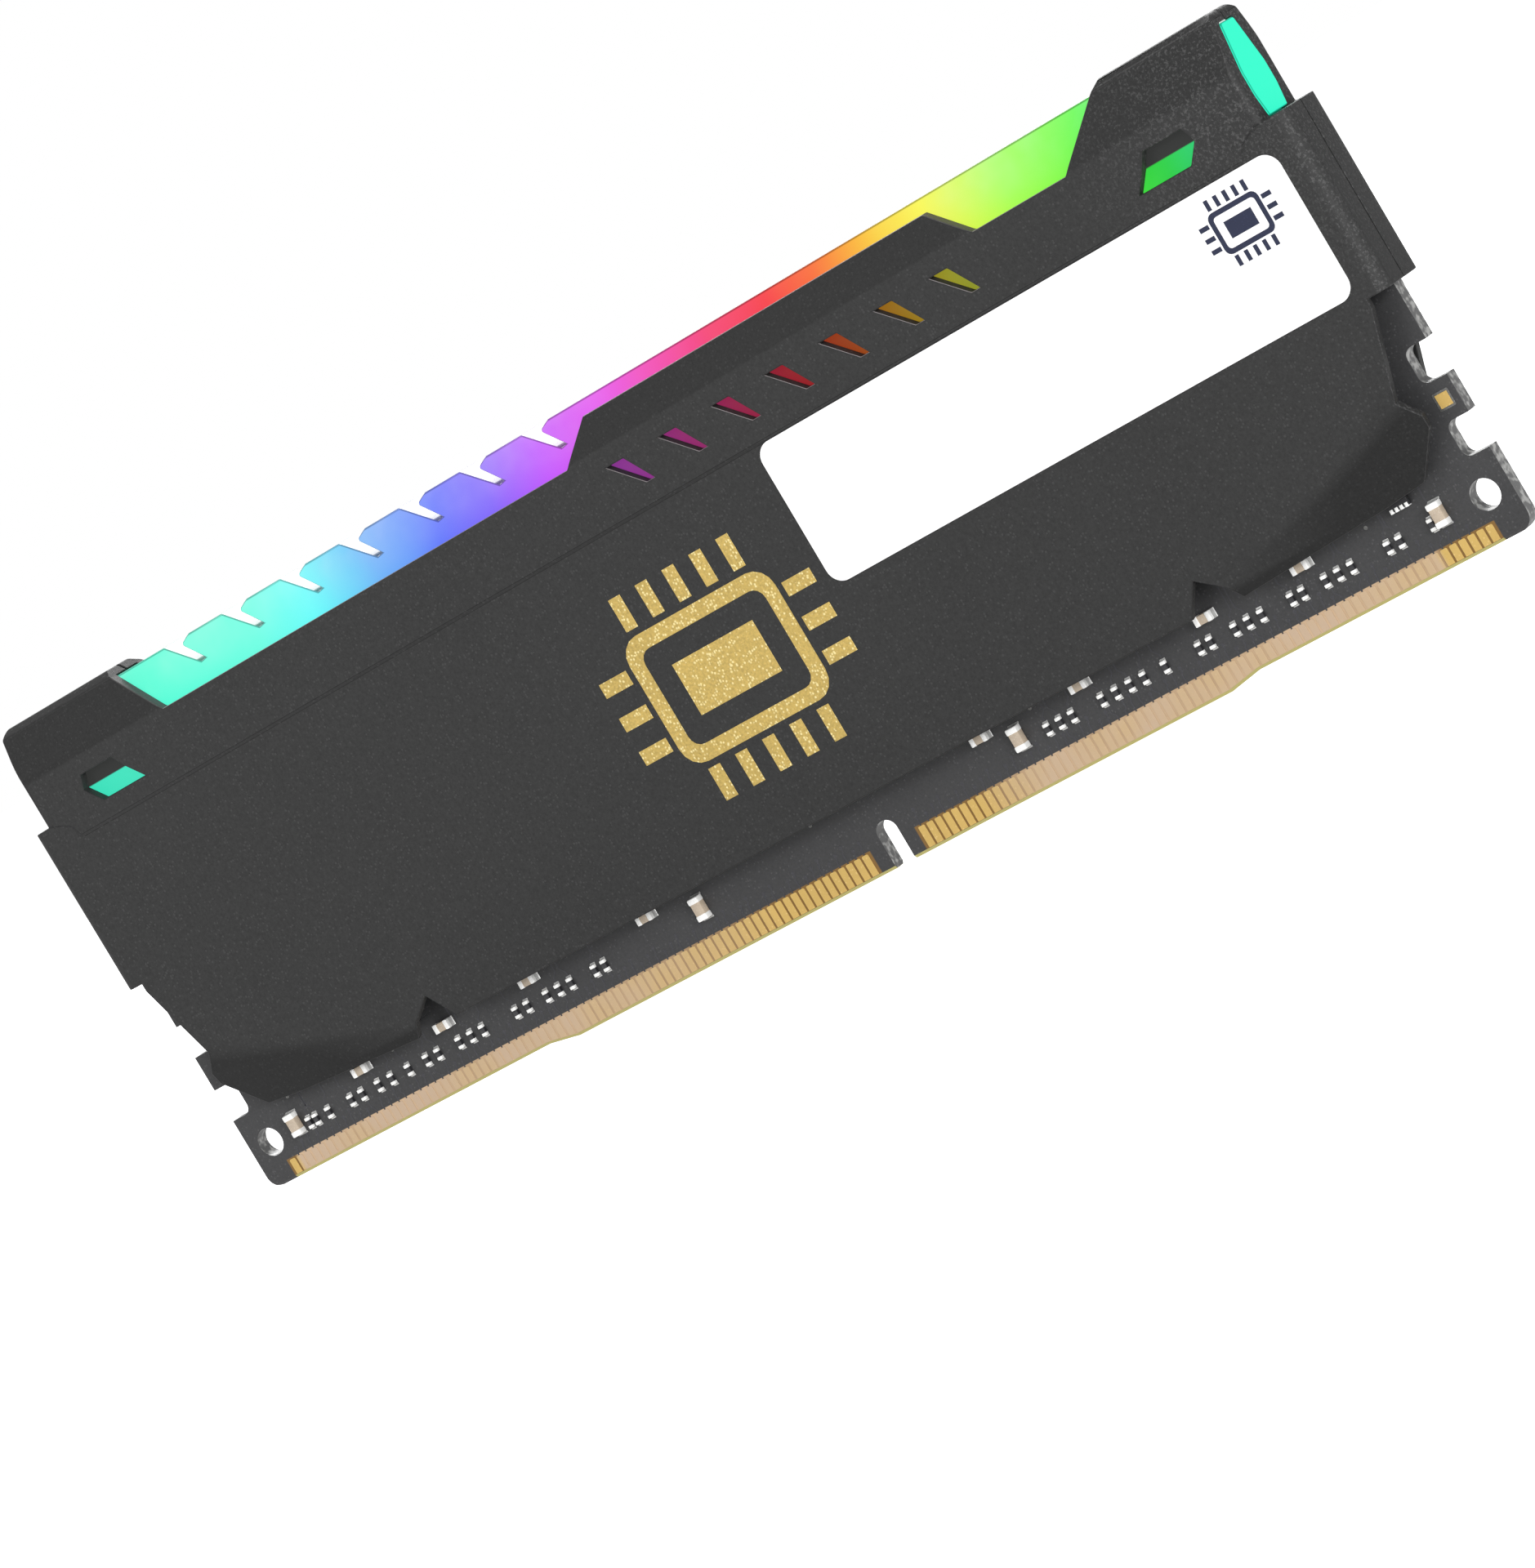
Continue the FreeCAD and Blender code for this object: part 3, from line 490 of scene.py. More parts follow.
def barMaterial():
    # frosted light guide: the colour follows its length, paler at the top, with painted shade behind the slits,
    # on its broken edges and notch tips, and a painted highlight on its cut walls
    look = barLook
    tree, shader, where = startMaterial("frostedBar", look)[:3]
    x, _, z = splitAxes(tree, where["Object"])
    facing = splitAxes(tree, where["Normal"])
    fromMiddle = unsigned(tree, x)
    stray = calc(tree, "SUBTRACT", noise(tree, where["Object"], look["wanderScale"]), 0.5)
    rainbow = barRainbow(tree, calc(tree, "ADD", x, times(tree, stray, look["wander"])), look["stops"])

    highUp = ramped(tree, z, *look["whitens"], 0.0, look["topWhite"])
    overStrip = ramped(tree, within(tree, x, *look["strip"]), 0.0, 1.0, 1.0, look["stripWhite"])
    awayFromCaps = fading(tree, fromMiddle, *look["capSide"])
    cloud = ramped(tree, noise(tree, where["Object"], look["cloudScale"]), *look["cloud"])
    color = mixed(tree, times(tree, highUp, overStrip, awayFromCaps, cloud), rainbow, pureWhite)

    inWindows = ramped(tree, z, *look["windowLow"])
    endCap = ramped(tree, fromMiddle, *look["capEnd"])
    uncovered = calc(tree, "MAXIMUM", inWindows, endCap)
    # painted shade: the glow is lowered behind the slits and slots
    bySlots = ramped(tree, fromMiddle, *look["slotSide"])
    covered = ramped(tree, bySlots, 0.0, 1.0, look["slitShadeLevel"], look["slotShadeLevel"])
    level = calc(tree, "MAXIMUM", uncovered, covered)
    # painted shade: faces turned away from the front glow less
    side = calc(tree, "MAXIMUM", unsigned(tree, facing[1]), times(tree, unsigned(tree, facing[0]), endCap))
    level = times(tree, level, ramped(tree, side, *look["broad"], look["edgeShadeLevel"], 1.0))

    cutWall = fading(tree, side, *look["cutWall"])
    # painted shade at the notch tips
    tips = times(tree, cutWall, fading(tree, z, *look["tipTop"]))
    crown = ramped(tree, facing[2], *look["crown"], 1.0, look["crownHighlight"])
    # painted highlight: the cut walls in the windows are whitened and made to glow brighter
    paleWallHighlight = times(tree, cutWall, look["wallHighlight"], inWindows, inverse(tree, tips), crown)
    color = mixed(tree, paleWallHighlight, color, pureWhite)
    level = calc(tree, "MAXIMUM", level, paleWallHighlight)
    level = times(tree, level, ramped(tree, tips, 0.0, 1.0, 1.0, look["tipShadeLevel"]))

    hooded = times(tree, bySlots, ramped(tree, z, *look["hoodLow"]), inverse(tree, uncovered))
    lit = mixed(tree, hooded, scaled(tree, color, level), look["hood"])
    body = scaled(tree, lit, look["body"])
    fill(tree, shader, {"Base Color": body, "Emission Color": lit, "Emission Strength": look["glow"]})


lensLook = {
    "color": (240, 240, 230), "grainScale": 6000.0, "grainHeight": 0.004, "roughness": 0.2,
    "glow": 1.5, "tint": screen(190, 225, 255), "spotScale": 900.0, "spots": (0.4, 0.65),
}


def lensMaterial():
    # clear LED lens, lit, with white spots in a pale blue
    look = lensLook
    tree, shader, where = startMaterial("ledLens", look)[:3]
    spot = ramped(tree, noise(tree, where["Object"], look["spotScale"]), *look["spots"])
    color = mixed(tree, spot, look["tint"], pureWhite)
    fill(tree, shader, {"Emission Color": color, "Emission Strength": look["glow"]})


for build in (coatMaterial, boardMaterial, contactMaterial, barMaterial, lensMaterial):
    build()
print("finishes made:", len(materials))


# shapes worked out as arrays: points, a list of face arrays, and the material slot of each face array

def ringBlocks(rings, sides):
    # quads between neighbouring rings of points, each ring closed round
    ring, side = np.meshgrid(np.arange(rings - 1), np.arange(sides), indexing="ij")
    here, above = ring * sides, (ring + 1) * sides
    after = (side + 1) % sides
    return np.stack([here + side, here + after, above + after, above + side], -1).reshape(-1, 4)


def endCaps(rings, sides):
    # one face over the first ring of points and one over the last
    return np.stack([np.arange(sides)[::-1], (rings - 1) * sides + np.arange(sides)])


def roundedRing(halfU, halfV, radius, perCorner):
    # a rounded rectangle: each corner's centre plus the radius times (cos, sin) over a quarter turn
    corner = np.repeat(np.arange(4), perCorner)
    angle = (corner + np.tile(np.linspace(0.0, 1.0, perCorner), 4)) * np.pi / 2
    signU = np.where((corner == 0) | (corner == 3), 1.0, -1.0)
    signV = np.where(corner < 2, 1.0, -1.0)
    u = signU * (halfU - radius) + radius * np.cos(angle)
    v = signV * (halfV - radius) + radius * np.sin(angle)
    return np.stack([u, v], -1)


def blockShape(size, center, radius, slot=0, perCorner=3, bend=3):
    # a block with every edge rounded: rings of a rounded rectangle, whose size and height follow a
    # quarter circle at both ends, shrink = r (1 - cos t), height = h - r + r sin t
    halfU, halfV, halfW = (part / 2 for part in size)
    turn = np.linspace(np.pi / 2, 0.0, bend)
    shrink = radius * (1 - np.cos(turn))
    height = halfW - radius + radius * np.sin(turn)
    shrinks = np.concatenate([shrink, shrink[::-1]])
    heights = np.concatenate([-height, height[::-1]])
    smallest = radius * 0.3  # a ring's corners stay at least this round
    rings = []
    for inset, at in zip(shrinks, heights):
        ring = roundedRing(halfU - inset, halfV - inset, max(radius - inset, smallest), perCorner)
        rings.append(np.column_stack([ring, np.full(len(ring), at)]))
    points = np.concatenate(rings) + np.array(center)
    sides = 4 * perCorner
    return points, [ringBlocks(len(rings), sides), endCaps(len(rings), sides)], [slot, slot]


def frameShape(outer, inner, outerRadius, innerRadius, thickness, perCorner=5):
    # a flat frame: a rectangular profile carried round a rounded rectangle, lying in the u-w plane
    outerRing = roundedRing(outer[0] / 2, outer[1] / 2, outerRadius, perCorner)
    innerRing = roundedRing(inner[0] / 2, inner[1] / 2, innerRadius, perCorner)
    loops = [(outerRing, 0.0), (outerRing, thickness), (innerRing, thickness), (innerRing, 0.0)]
    points = [np.column_stack([ring[:, 0], np.full(len(ring), v), ring[:, 1]]) for ring, v in loops]
    sides = len(outerRing)
    quads = ringBlocks(len(loops) + 1, sides) % (len(loops) * sides)  # the last loop closes on the first
    return np.concatenate(points), [quads], [0]


solderLook = {
    "film": 0.012 * mm, "reach": 0.16 * mm, "topShare": 0.96,
    # share of a terminal's width and height that the solder has, and where along the part it starts
    "wide": 1.02, "tall": 0.6, "start": 0.98,
}


def filletShape(width, height, start, slot, steps=4):
    # solder run-out: its height falls as (1 - t) squared from the part's end out to the pad
    share = np.linspace(0.0, 1.0, steps)
    heights = height * (1 - share) ** 2 + solderLook["film"]
    half, topHalf = width / 2, width / 2 * solderLook["topShare"]
    rings = []
    for t, top in zip(share, heights):
        along = start + math.copysign(solderLook["reach"], start) * t
        rings.append([[-half, 0.0, along], [half, 0.0, along], [topHalf, top, along], [-topHalf, top, along]])
    points = np.array(rings).reshape(-1, 3)
    quads, caps = ringBlocks(steps, 4), endCaps(steps, 4)
    if start < 0:
        quads, caps = quads[:, ::-1], caps[:, ::-1]
    return points, [quads, caps], [slot, slot]


def turnedShape(profile, sides, slot=0):
    # a profile of (radius, height) pairs turned about the v axis, closed at both ends
    angle = np.linspace(0.0, 2 * np.pi, sides, endpoint=False)
    radius, height = np.array(profile).T
    u = radius[:, None] * np.cos(angle)
    w = -radius[:, None] * np.sin(angle)
    v = np.repeat(height[:, None], sides, 1)
    points = np.stack([u, v, w], -1).reshape(-1, 3)
    return points, [ringBlocks(len(radius), sides), endCaps(len(radius), sides)], [slot, slot]


def joined(shapes):
    # several shapes as one, with their face numbers shifted past the points before them
    points, faces, slots, start = [], [], [], 0
    for shape in shapes:
        points.append(shape[0])
        faces += [face + start for face in shape[1]]
        slots += shape[2]
        start += len(shape[0])
    return np.concatenate(points), faces, slots


def copied(shape, places):
    # the shape repeated at every place
    count, size = len(places), len(shape[0])
    points = (shape[0][None] + np.array(places)[:, None]).reshape(-1, 3)
    shift = np.arange(count)[:, None, None] * size
    faces = [(face[None] + shift).reshape(-1, face.shape[1]) for face in shape[1]]
    return points, faces, shape[2]


def standing(shape, places, side, alongX=False, surface=halfBoard):
    # local (across, out, along) set on the front or back surface at (x, z) places
    out = np.array([0.0, side, 0.0])
    across, along = ((0.0, 0.0, 1.0), (1.0, 0.0, 0.0)) if alongX else ((1.0, 0.0, 0.0), (0.0, 0.0, 1.0))
    axes = np.array([across, out, along])
    faces = shape[1]
    if np.linalg.det(axes) < 0:
        faces = [face[:, ::-1] for face in faces]
    return copied((shape[0] @ axes, faces, shape[2]), [(x, side * surface, z) for x, z in places])


def linked(name, data):
    # a new object in the scene
    thing = bpy.data.objects.new(name, data)
    bpy.context.scene.collection.objects.link(thing)
    return thing


def addPiece(name, shape, finishes, replaces=(), smooth=True):
    # a mesh object that rides on the module, with one material for each slot of the shape
    points, faces, slots = shape
    mesh = bpy.data.meshes.new(name)
    mesh.from_pydata(points.tolist(), [], [face for group in faces for face in group.tolist()])
    for finish in finishes:
        mesh.materials.append(materials[finish])
    index = np.concatenate([np.full(len(group), number) for group, number in zip(faces, slots)])
    mesh.polygons.foreach_set("material_index", index.astype(np.int32))
    mesh.polygons.foreach_set("use_smooth", np.full(len(index), smooth))
    mesh.update()
    if smooth:
        mesh.set_sharp_from_angle(angle=math.radians(40))
    piece = linked(name, mesh)
    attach(piece, "root")
    if replaces:
        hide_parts(*replaces)


copyLook = {"merge": 0.0005 * mm, "flat": math.radians(0.5), "sharp": math.radians(28)}


def smoothedCopy(node, name, finish, width, segments=2):
    # the node's own shape, merged, its flat faces made whole and its edges broken
    mesh = nodes[node].data.copy()
    mesh.name = name
    mesh.materials.clear()
    mesh.materials.append(materials[finish])
    work = bmesh.new()
    work.from_mesh(mesh)
    bmesh.ops.remove_doubles(work, verts=work.verts, dist=copyLook["merge"])
    bmesh.ops.dissolve_limit(work, angle_limit=copyLook["flat"], verts=work.verts, edges=work.edges)
    for face in work.faces:
        face.smooth = True
        face.material_index = 0
    work.to_mesh(mesh)
    work.free()
    if "custom_normal" in mesh.attributes:
        mesh.attributes.remove(mesh.attributes["custom_normal"])
    mesh.set_sharp_from_angle(angle=copyLook["sharp"])
    piece = linked(name, mesh)
    bevel = piece.modifiers.new("brokenEdges", "BEVEL")
    bevel.width = width
    bevel.segments = segments
    bevel.limit_method = "ANGLE"
    bevel.angle_limit = copyLook["sharp"]
    bevel.use_clamp_overlap = False
    bevel.harden_normals = True
    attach(piece, "root")
    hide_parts(node)


# the shells, the board and the bar

edgeBreak = {
    "shell": 0.09 * mm, "bar": 0.12 * mm, "board": 0.03 * mm, "contacts": 0.012 * mm, "pad": 0.15 * mm,
    "label": 0.02 * mm, "chip": 0.04 * mm, "testPad": 0.01 * mm,
}

for sideName in ("front", "back"):
    shell = "shell" + sideName.title()
    smoothedCopy("heat_spreader_" + sideName, shell, "powderCoat", edgeBreak["shell"])
smoothedCopy("light_bar", "topBar", "frostedBar", edgeBreak["bar"])
smoothedCopy("circuit_board", "boardPanel", "boardMask", edgeBreak["board"])
for sideName in ("front", "back"):
    for rowName in ("long", "short"):
        node = "contacts_" + sideName + "_" + rowName
        piece = "contactRow" + sideName.title() + rowName.title()
        smoothedCopy(node, piece, "contactGold", edgeBreak["contacts"], 1)
    pad = "pad" + sideName.title()
    smoothedCopy("thermal_pad_" + sideName, pad, "siliconePad", edgeBreak["pad"])
smoothedCopy("label_front", "paperLabel", "labelPaper", edgeBreak["label"])
print("shells, board, bar and contacts finished")


# soldered parts

def blockSpans(node):
    # low and high x of the separate blocks in a row, one pair for each
    coordinates = np.zeros(len(nodes[node].data.vertices) * 3)
    nodes[node].data.vertices.foreach_get("co", coordinates)
    return np.unique(np.round(coordinates[::3], 6)).reshape(-1, 2)


def boxPlace(low, high):
    # the middle of a box as seen from the front
    return (low.x + high.x) / 2, (low.z + high.z) / 2


# shares of the part's width, height and length, and of its height up to the body's middle
terminalLook = {"body": (0.94, 0.9, 0.9), "lift": 0.47}


def terminalPart(size, endShare, radius):
    # a soldered block: body in slot 0, two metal ends in slot 1 and solder in slot 2
    width, height, length = size
    end = length * endShare
    body = tuple(share * part for share, part in zip(terminalLook["body"], size))
    shapes = [blockShape(body, (0, height * terminalLook["lift"], 0), radius)]
    for sign in (-1, 1):
        middle = sign * (length - end) / 2
        shapes.append(blockShape((width, height, end), (0, height / 2, middle), radius, 1))
        start = sign * length / 2 * solderLook["start"]
        shapes.append(filletShape(width * solderLook["wide"], height * solderLook["tall"], start, 2))
    return joined(shapes)


partLook = {
    # node: body finish, share of the length that each metal end takes, edge radius, lies along x, side, slot
    "capacitors_large": ("ceramicTan", 0.25, 0.09 * mm, False, front, "capacitor_ceramic"),
    "capacitors_medium": ("ceramicTan", 0.27, 0.07 * mm, True, front, "capacitor_ceramic"),
    "resistors_front": ("resistorFilm", 0.28, 0.05 * mm, False, front, "resistor_ceramic"),
    "resistors_back": ("resistorFilm", 0.28, 0.05 * mm, False, back, "resistor_ceramic"),
    "led_capacitors": ("ceramicTan", 0.28, 0.05 * mm, False, front, "capacitor_ceramic"),
}
for node, (body, endShare, radius, alongX, side, slotName) in partLook.items():
    low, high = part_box(node)
    spans = blockSpans(node)
    deep, tall, wide = high.y - low.y, high.z - low.z, float((spans[:, 1] - spans[:, 0]).mean())
    size = (tall, deep, wide) if alongX else (wide, deep, tall)
    places = [(x, boxPlace(low, high)[1]) for x in spans.mean(1)]
    shape = standing(terminalPart(size, endShare, radius), places, side, alongX)
    addPiece(camelName(node.split("_")) + "Soldered", shape, [body, "tinnedEnd", "solderFlow"], [node])
print("capacitors and resistors soldered on")


packageLook = {
    # node: piece's name, edge radius, pin (width, height, length), how many on a side, which sides, slot
    "config_memory": ("configMemory", 0.06 * mm, inMm(0.25, 0.12, 0.35), 4, "x", "chip_mould"),
    "light_controller": ("lightController", 0.07 * mm, inMm(0.22, 0.1, 0.35), 7, "xz", "chip_mould"),
    "resistor_network": ("resistorArray", 0.05 * mm, inMm(0.3, 0.52, 0.36), 4, "z", "resistor_ceramic"),
}
bodyLook = {
    # the body is this much narrower than its box and sits at this share of its height
    "inset": 0.1 * mm, "tall": 0.94, "lift": 0.53,
    "dimple": [inMm(0.11, 0), inMm(0.11, 0.006), inMm(0.08, 0.008)], "dimpleInset": 0.35 * mm,
    "pinSpread": 0.92, "pinOut": 0.04 * mm, "pinRadius": 0.02 * mm,
}


def leggedPackage(node, name, radius, pin, count, sides, slotName):
    # a moulded body with a dimple at pin one and flat pins along its x sides, its z sides or both
    low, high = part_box(node)
    size = high - low
    inset = bodyLook["inset"]
    body = (size.x - inset, size.y * bodyLook["tall"], size.z - inset)
    shapes = [blockShape(body, (0, size.y * bodyLook["lift"], 0), radius)]
    points, faces, slots = turnedShape(bodyLook["dimple"], 12, 1)
    byCorner = (bodyLook["dimpleInset"] - size.x / 2, size.y, size.z / 2 - bodyLook["dimpleInset"])
    shapes.append((points + np.array(byCorner), faces, slots))
    pinWidth, pinHeight, pinLength = pin
    steps = (np.arange(count) - (count - 1) / 2) / count * bodyLook["pinSpread"]
    reach = bodyLook["pinOut"] - pinLength / 2
    for sign in (-1, 1):
        for share in steps:
            pins = {
                "x": ((pinLength, pinHeight, pinWidth), (sign * (size.x / 2 + reach), share * size.z)),
                "z": ((pinWidth, pinHeight, pinLength), (share * size.x, sign * (size.z / 2 + reach))),
            }
            for pinSize, (x, z) in (pins[side] for side in sides):
                shapes.append(blockShape(pinSize, (x, pinHeight / 2, z), bodyLook["pinRadius"], 1))
    shape = standing(joined(shapes), [boxPlace(low, high)], front)
    addPiece(name, shape, ["mouldedBlack", "tinnedEnd"], [node])


for node, settings in packageLook.items():
    leggedPackage(node, *settings)

chipLook = {
    "count": 8, "ballRadius": 0.23 * mm, "pitch": 0.8 * mm, "rows": 13, "columns": 3, "bankGap": 4.8 * mm,
    "squash": 0.85,  # a ball's flats stand at this angle from its middle, in radians
}


def chipBallPlaces(x, z):
    # two banks of balls, each a grid, beside the middle line of a chip
    column = np.arange(chipLook["columns"])
    offset = chipLook["bankGap"] / 2 + (column - chipLook["columns"] + 1) * chipLook["pitch"]
    row = (np.arange(chipLook["rows"]) - (chipLook["rows"] - 1) / 2) * chipLook["pitch"]
    across, along = np.meshgrid(np.concatenate([-offset, offset]), row)
    return np.column_stack([across.ravel() + x, along.ravel() + z])


ballPlaces = []
for number in range(1, chipLook["count"] + 1):
    node = "memory_chip_" + str(number)
    ballPlaces.append(chipBallPlaces(*boxPlace(*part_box(node))))
    smoothedCopy(node, "dramChip" + str(number), "mouldedBlack", edgeBreak["chip"])
standOff = -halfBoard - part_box("memory_chip_1")[1].y
squash = chipLook["squash"]
turn = np.linspace(-squash, squash, 5)
ballHeight = standOff * (0.5 + 0.5 * np.sin(turn) / math.sin(squash))
ballShape = turnedShape(np.column_stack([chipLook["ballRadius"] * np.cos(turn), ballHeight]), 8)
balls = standing(ballShape, np.concatenate(ballPlaces), front)
addPiece("chipBalls", balls, ["solderFlow"], ["chip_solder_balls"])

ledLook = {
    "count": 8,
    # shares of the light's width, height and length, and how high and how far along each middle is
    "housing": (0.76, 0.96, 0.8), "housingAt": (0.5, -0.1), "housingRadius": 0.08 * mm,
    "lens": (0.62, 0.74, 0.3), "lensAt": (0.5, 0.34), "lensRadius": 0.1 * mm,
    "end": (0.13, 0.8, 0.7), "endAt": (0.4, -0.12), "endRadius": 0.04 * mm, "endSide": 0.43,
}


def ledShape(size):
    # white housing with a raised lens along its top edge and a soldered metal end at each side
    parts = []
    for name, slot, side in (("housing", 0, 0), ("lens", 1, 0), ("end", 2, -1), ("end", 2, 1)):
        lift, along = ledLook[name + "At"]
        center = (side * size.x * ledLook["endSide"], size.y * lift, size.z * along)
        part = tuple(share * whole for share, whole in zip(ledLook[name], size))
        parts.append(blockShape(part, center, ledLook[name + "Radius"], slot))
    return joined(parts)


for number in range(1, ledLook["count"] + 1):
    node = "led_" + str(number)
    low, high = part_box(node)
    shape = standing(ledShape(high - low), [boxPlace(low, high)], front)
    addPiece("colourLed" + str(number), shape, ["ledHousing", "ledLens", "tinnedEnd"], [node])
print("chips, balls and lights placed")


# copper under the mask, vias and the test pad

rowLook = {"pitch": 0.85 * mm, "width": 0.65 * mm}
runLook = {
    "halfWidth": 0.07 * mm, "height": 0.012 * mm,
    "straight": 0.45 * mm,  # from a contact up to the bend towards its resistor
    "overlap": 0.1 * mm,  # how far a run reaches under a resistor
    "leave": 0.5 * mm, "leanEnd": 1.0 * mm, "lean": 0.45 * mm, "climb": 8.0 * mm,  # above a resistor
    "endMargin": 4.2 * mm,  # keeps the short runs off the holes near the board's ends
    "shortSteps": 3, "shortStep": 0.35 * mm, "shortStraight": 0.2 * mm, "shortJog": 0.12 * mm,
    "shortTop": 0.7 * mm,
}


def contactCenters(node):
    low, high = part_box(node)
    count = round((high.x - low.x - rowLook["width"]) / rowLook["pitch"]) + 1
    return low.x + rowLook["width"] / 2 + np.arange(count) * rowLook["pitch"]


def ribbonShape(paths):
    # a flat bar carried along each path of (x, z) points, all climbing, its width kept along x
    half, high = runLook["halfWidth"], runLook["height"]
    count, steps = paths.shape[:2]
    x, z = paths[..., 0], paths[..., 1]
    corners = [(half, 0.0), (-half, 0.0), (-half, high), (half, high)]
    rings = np.stack([np.stack([x + u, np.full_like(x, v), z], -1) for u, v in corners], 2)
    shift = np.arange(count)[:, None, None] * steps * 4
    faces = [(face[None] + shift).reshape(-1, 4) for face in (ringBlocks(steps, 4), endCaps(steps, 4))]
    return rings.reshape(-1, 3), faces, [0, 0]


def pathsThrough(*corners):
    # paths side by side through corners given as all their x and all their z
    return np.stack([np.stack(np.broadcast_arrays(x, z), -1) for x, z in corners], 1)


def tracePaths(side):
    # every contact has a short run up; those nearest a resistor jog sideways into its pad
    look = runLook
    sideName = "front" if side == front else "back"
    contacts = np.concatenate([contactCenters("contacts_" + sideName + "_" + row) for row in ("long", "short")])
    low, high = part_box("resistors_" + sideName)
    resistors = blockSpans("resistors_" + sideName).mean(1)
    nearest = np.abs(contacts[None] - resistors[:, None]).argmin(1)
    used = np.zeros(len(contacts), bool)
    used[nearest] = True
    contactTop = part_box("contacts_" + sideName + "_long")[1].z
    start = contacts[nearest]
    bendZ = contactTop + look["straight"]
    lower = pathsThrough(
        (start, contactTop), (start, bendZ), (resistors, bendZ + np.abs(start - resistors)),
        (resistors, low.z + look["overlap"]),
    )
    leaning = resistors + np.where(np.arange(len(resistors)) % 2 == 0, look["lean"], -look["lean"])
    upper = pathsThrough(
        (resistors, high.z - look["overlap"]), (resistors, high.z + look["leave"]),
        (leaning, high.z + look["leanEnd"]), (leaning, high.z + look["climb"]),
    )
    free = contacts[~used & (np.abs(contacts) < boardHigh.x - look["endMargin"])]
    bend = contactTop + look["shortStraight"] + np.arange(len(free)) % look["shortSteps"] * look["shortStep"]
    topX, topZ = free + look["shortJog"], bend + look["shortTop"] - look["shortStraight"]
    short = pathsThrough((free, contactTop), (free, bend), (topX, bend + look["shortJog"]), (topX, topZ))
    return np.concatenate([lower, upper, short]), np.stack([topX, topZ], -1)


viaLook = {
    "profile": [inMm(0.17, 0.0), inMm(0.16, 0.014), inMm(0.1, 0.018), inMm(0.07, 0.006)], "sides": 12,
    # every so many of the covered vias has a bare one this far along and above it
    "bareFirst": 2, "bareEvery": 7, "bareShift": inMm(0.3, 3.4),
}
for side, sideName in ((front, "Front"), (back, "Back")):
    paths, viaPlaces = tracePaths(side)
    runs = standing(ribbonShape(paths), [(0.0, 0.0)], side)
    addPiece("copperRuns" + sideName, runs, ["maskedCopper"])
    tented = standing(turnedShape(viaLook["profile"], viaLook["sides"]), viaPlaces, side)
    barePlaces = viaPlaces[viaLook["bareFirst"]::viaLook["bareEvery"]] + np.array(viaLook["bareShift"])
    bare = standing(turnedShape(viaLook["profile"], viaLook["sides"], 1), barePlaces, side)
    addPiece("vias" + sideName, joined([tented, bare]), ["maskedCopper", "viaTin"])

padBorder = {"gap": 0.02 * mm, "reach": 0.34 * mm, "corners": inMm(0.1, 0.03), "height": 0.03 * mm}
padLow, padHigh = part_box("test_pad")
inner, outer = (padHigh.x - padLow.x + padBorder[name] for name in ("gap", "reach"))
border = frameShape((outer, outer), (inner, inner), *padBorder["corners"], padBorder["height"])
addPiece("testPadBorder", standing(border, [boxPlace(padLow, padHigh)], front), ["viaTin"])
smoothedCopy("test_pad", "testPadGold", "contactGold", edgeBreak["testPad"], 1)
print("copper runs, vias and test pad placed")


# printed marks: a plain chip pictogram

markLook = {
    "body": inMm(15.6, 11.4), "stroke": 1.35 * mm, "corner": 1.9 * mm,
    "core": inMm(8.6, 4.6), "pin": inMm(1.25, 2.9), "pinGap": 0.55 * mm,
    # how many pins along each side, and their pitch as a share of that side
    "acrossPins": 5, "acrossPitch": 0.185, "sidePins": 3, "sidePitch": 0.27,
    "place": inMm(0.9, 20.4), "ink": 0.03 * mm,
    # the small one on the label: its size, its thickness and its distance from the label's corner
    "labelShare": 0.3, "labelInk": 0.008 * mm, "labelInset": inMm(5.2, 3.6),
}


def printedPlate(width, height, ink, x, z):
    # a thin printed plate standing in the plane of the print
    points, faces, slots = blockShape((width, height, ink), (0, 0, 0), ink * 0.4, 0, 4, 2)
    turned = points[:, [0, 2, 1]] + np.array([x, ink / 2, z])
    return turned, [face[:, ::-1] for face in faces], slots


def evenly(count, pitch):
    return [(number - (count - 1) / 2) * pitch for number in range(count)]


def chipPictogram(size, ink):
    # a rounded frame with a solid core, and rows of pins standing off its four sides
    look = markLook
    width, height = (part * size for part in look["body"])
    stroke, corner = look["stroke"] * size, look["corner"] * size
    inside = (width - 2 * stroke, height - 2 * stroke)
    shapes = [frameShape((width, height), inside, corner, corner - stroke * 0.6, ink)]
    coreWidth, coreHeight = (part * size for part in look["core"])
    shapes.append(printedPlate(coreWidth, coreHeight, ink, 0, 0))
    pinWidth, pinLength = (part * size for part in look["pin"])
    out = look["pinGap"] * size + pinLength / 2
    for sign in (-1, 1):
        for x in evenly(look["acrossPins"], width * look["acrossPitch"]):
            shapes.append(printedPlate(pinWidth, pinLength, ink, x, sign * (height / 2 + out)))
        for z in evenly(look["sidePins"], height * look["sidePitch"]):
            shapes.append(printedPlate(pinLength, pinWidth, ink, sign * (width / 2 + out), z))
    return joined(shapes)


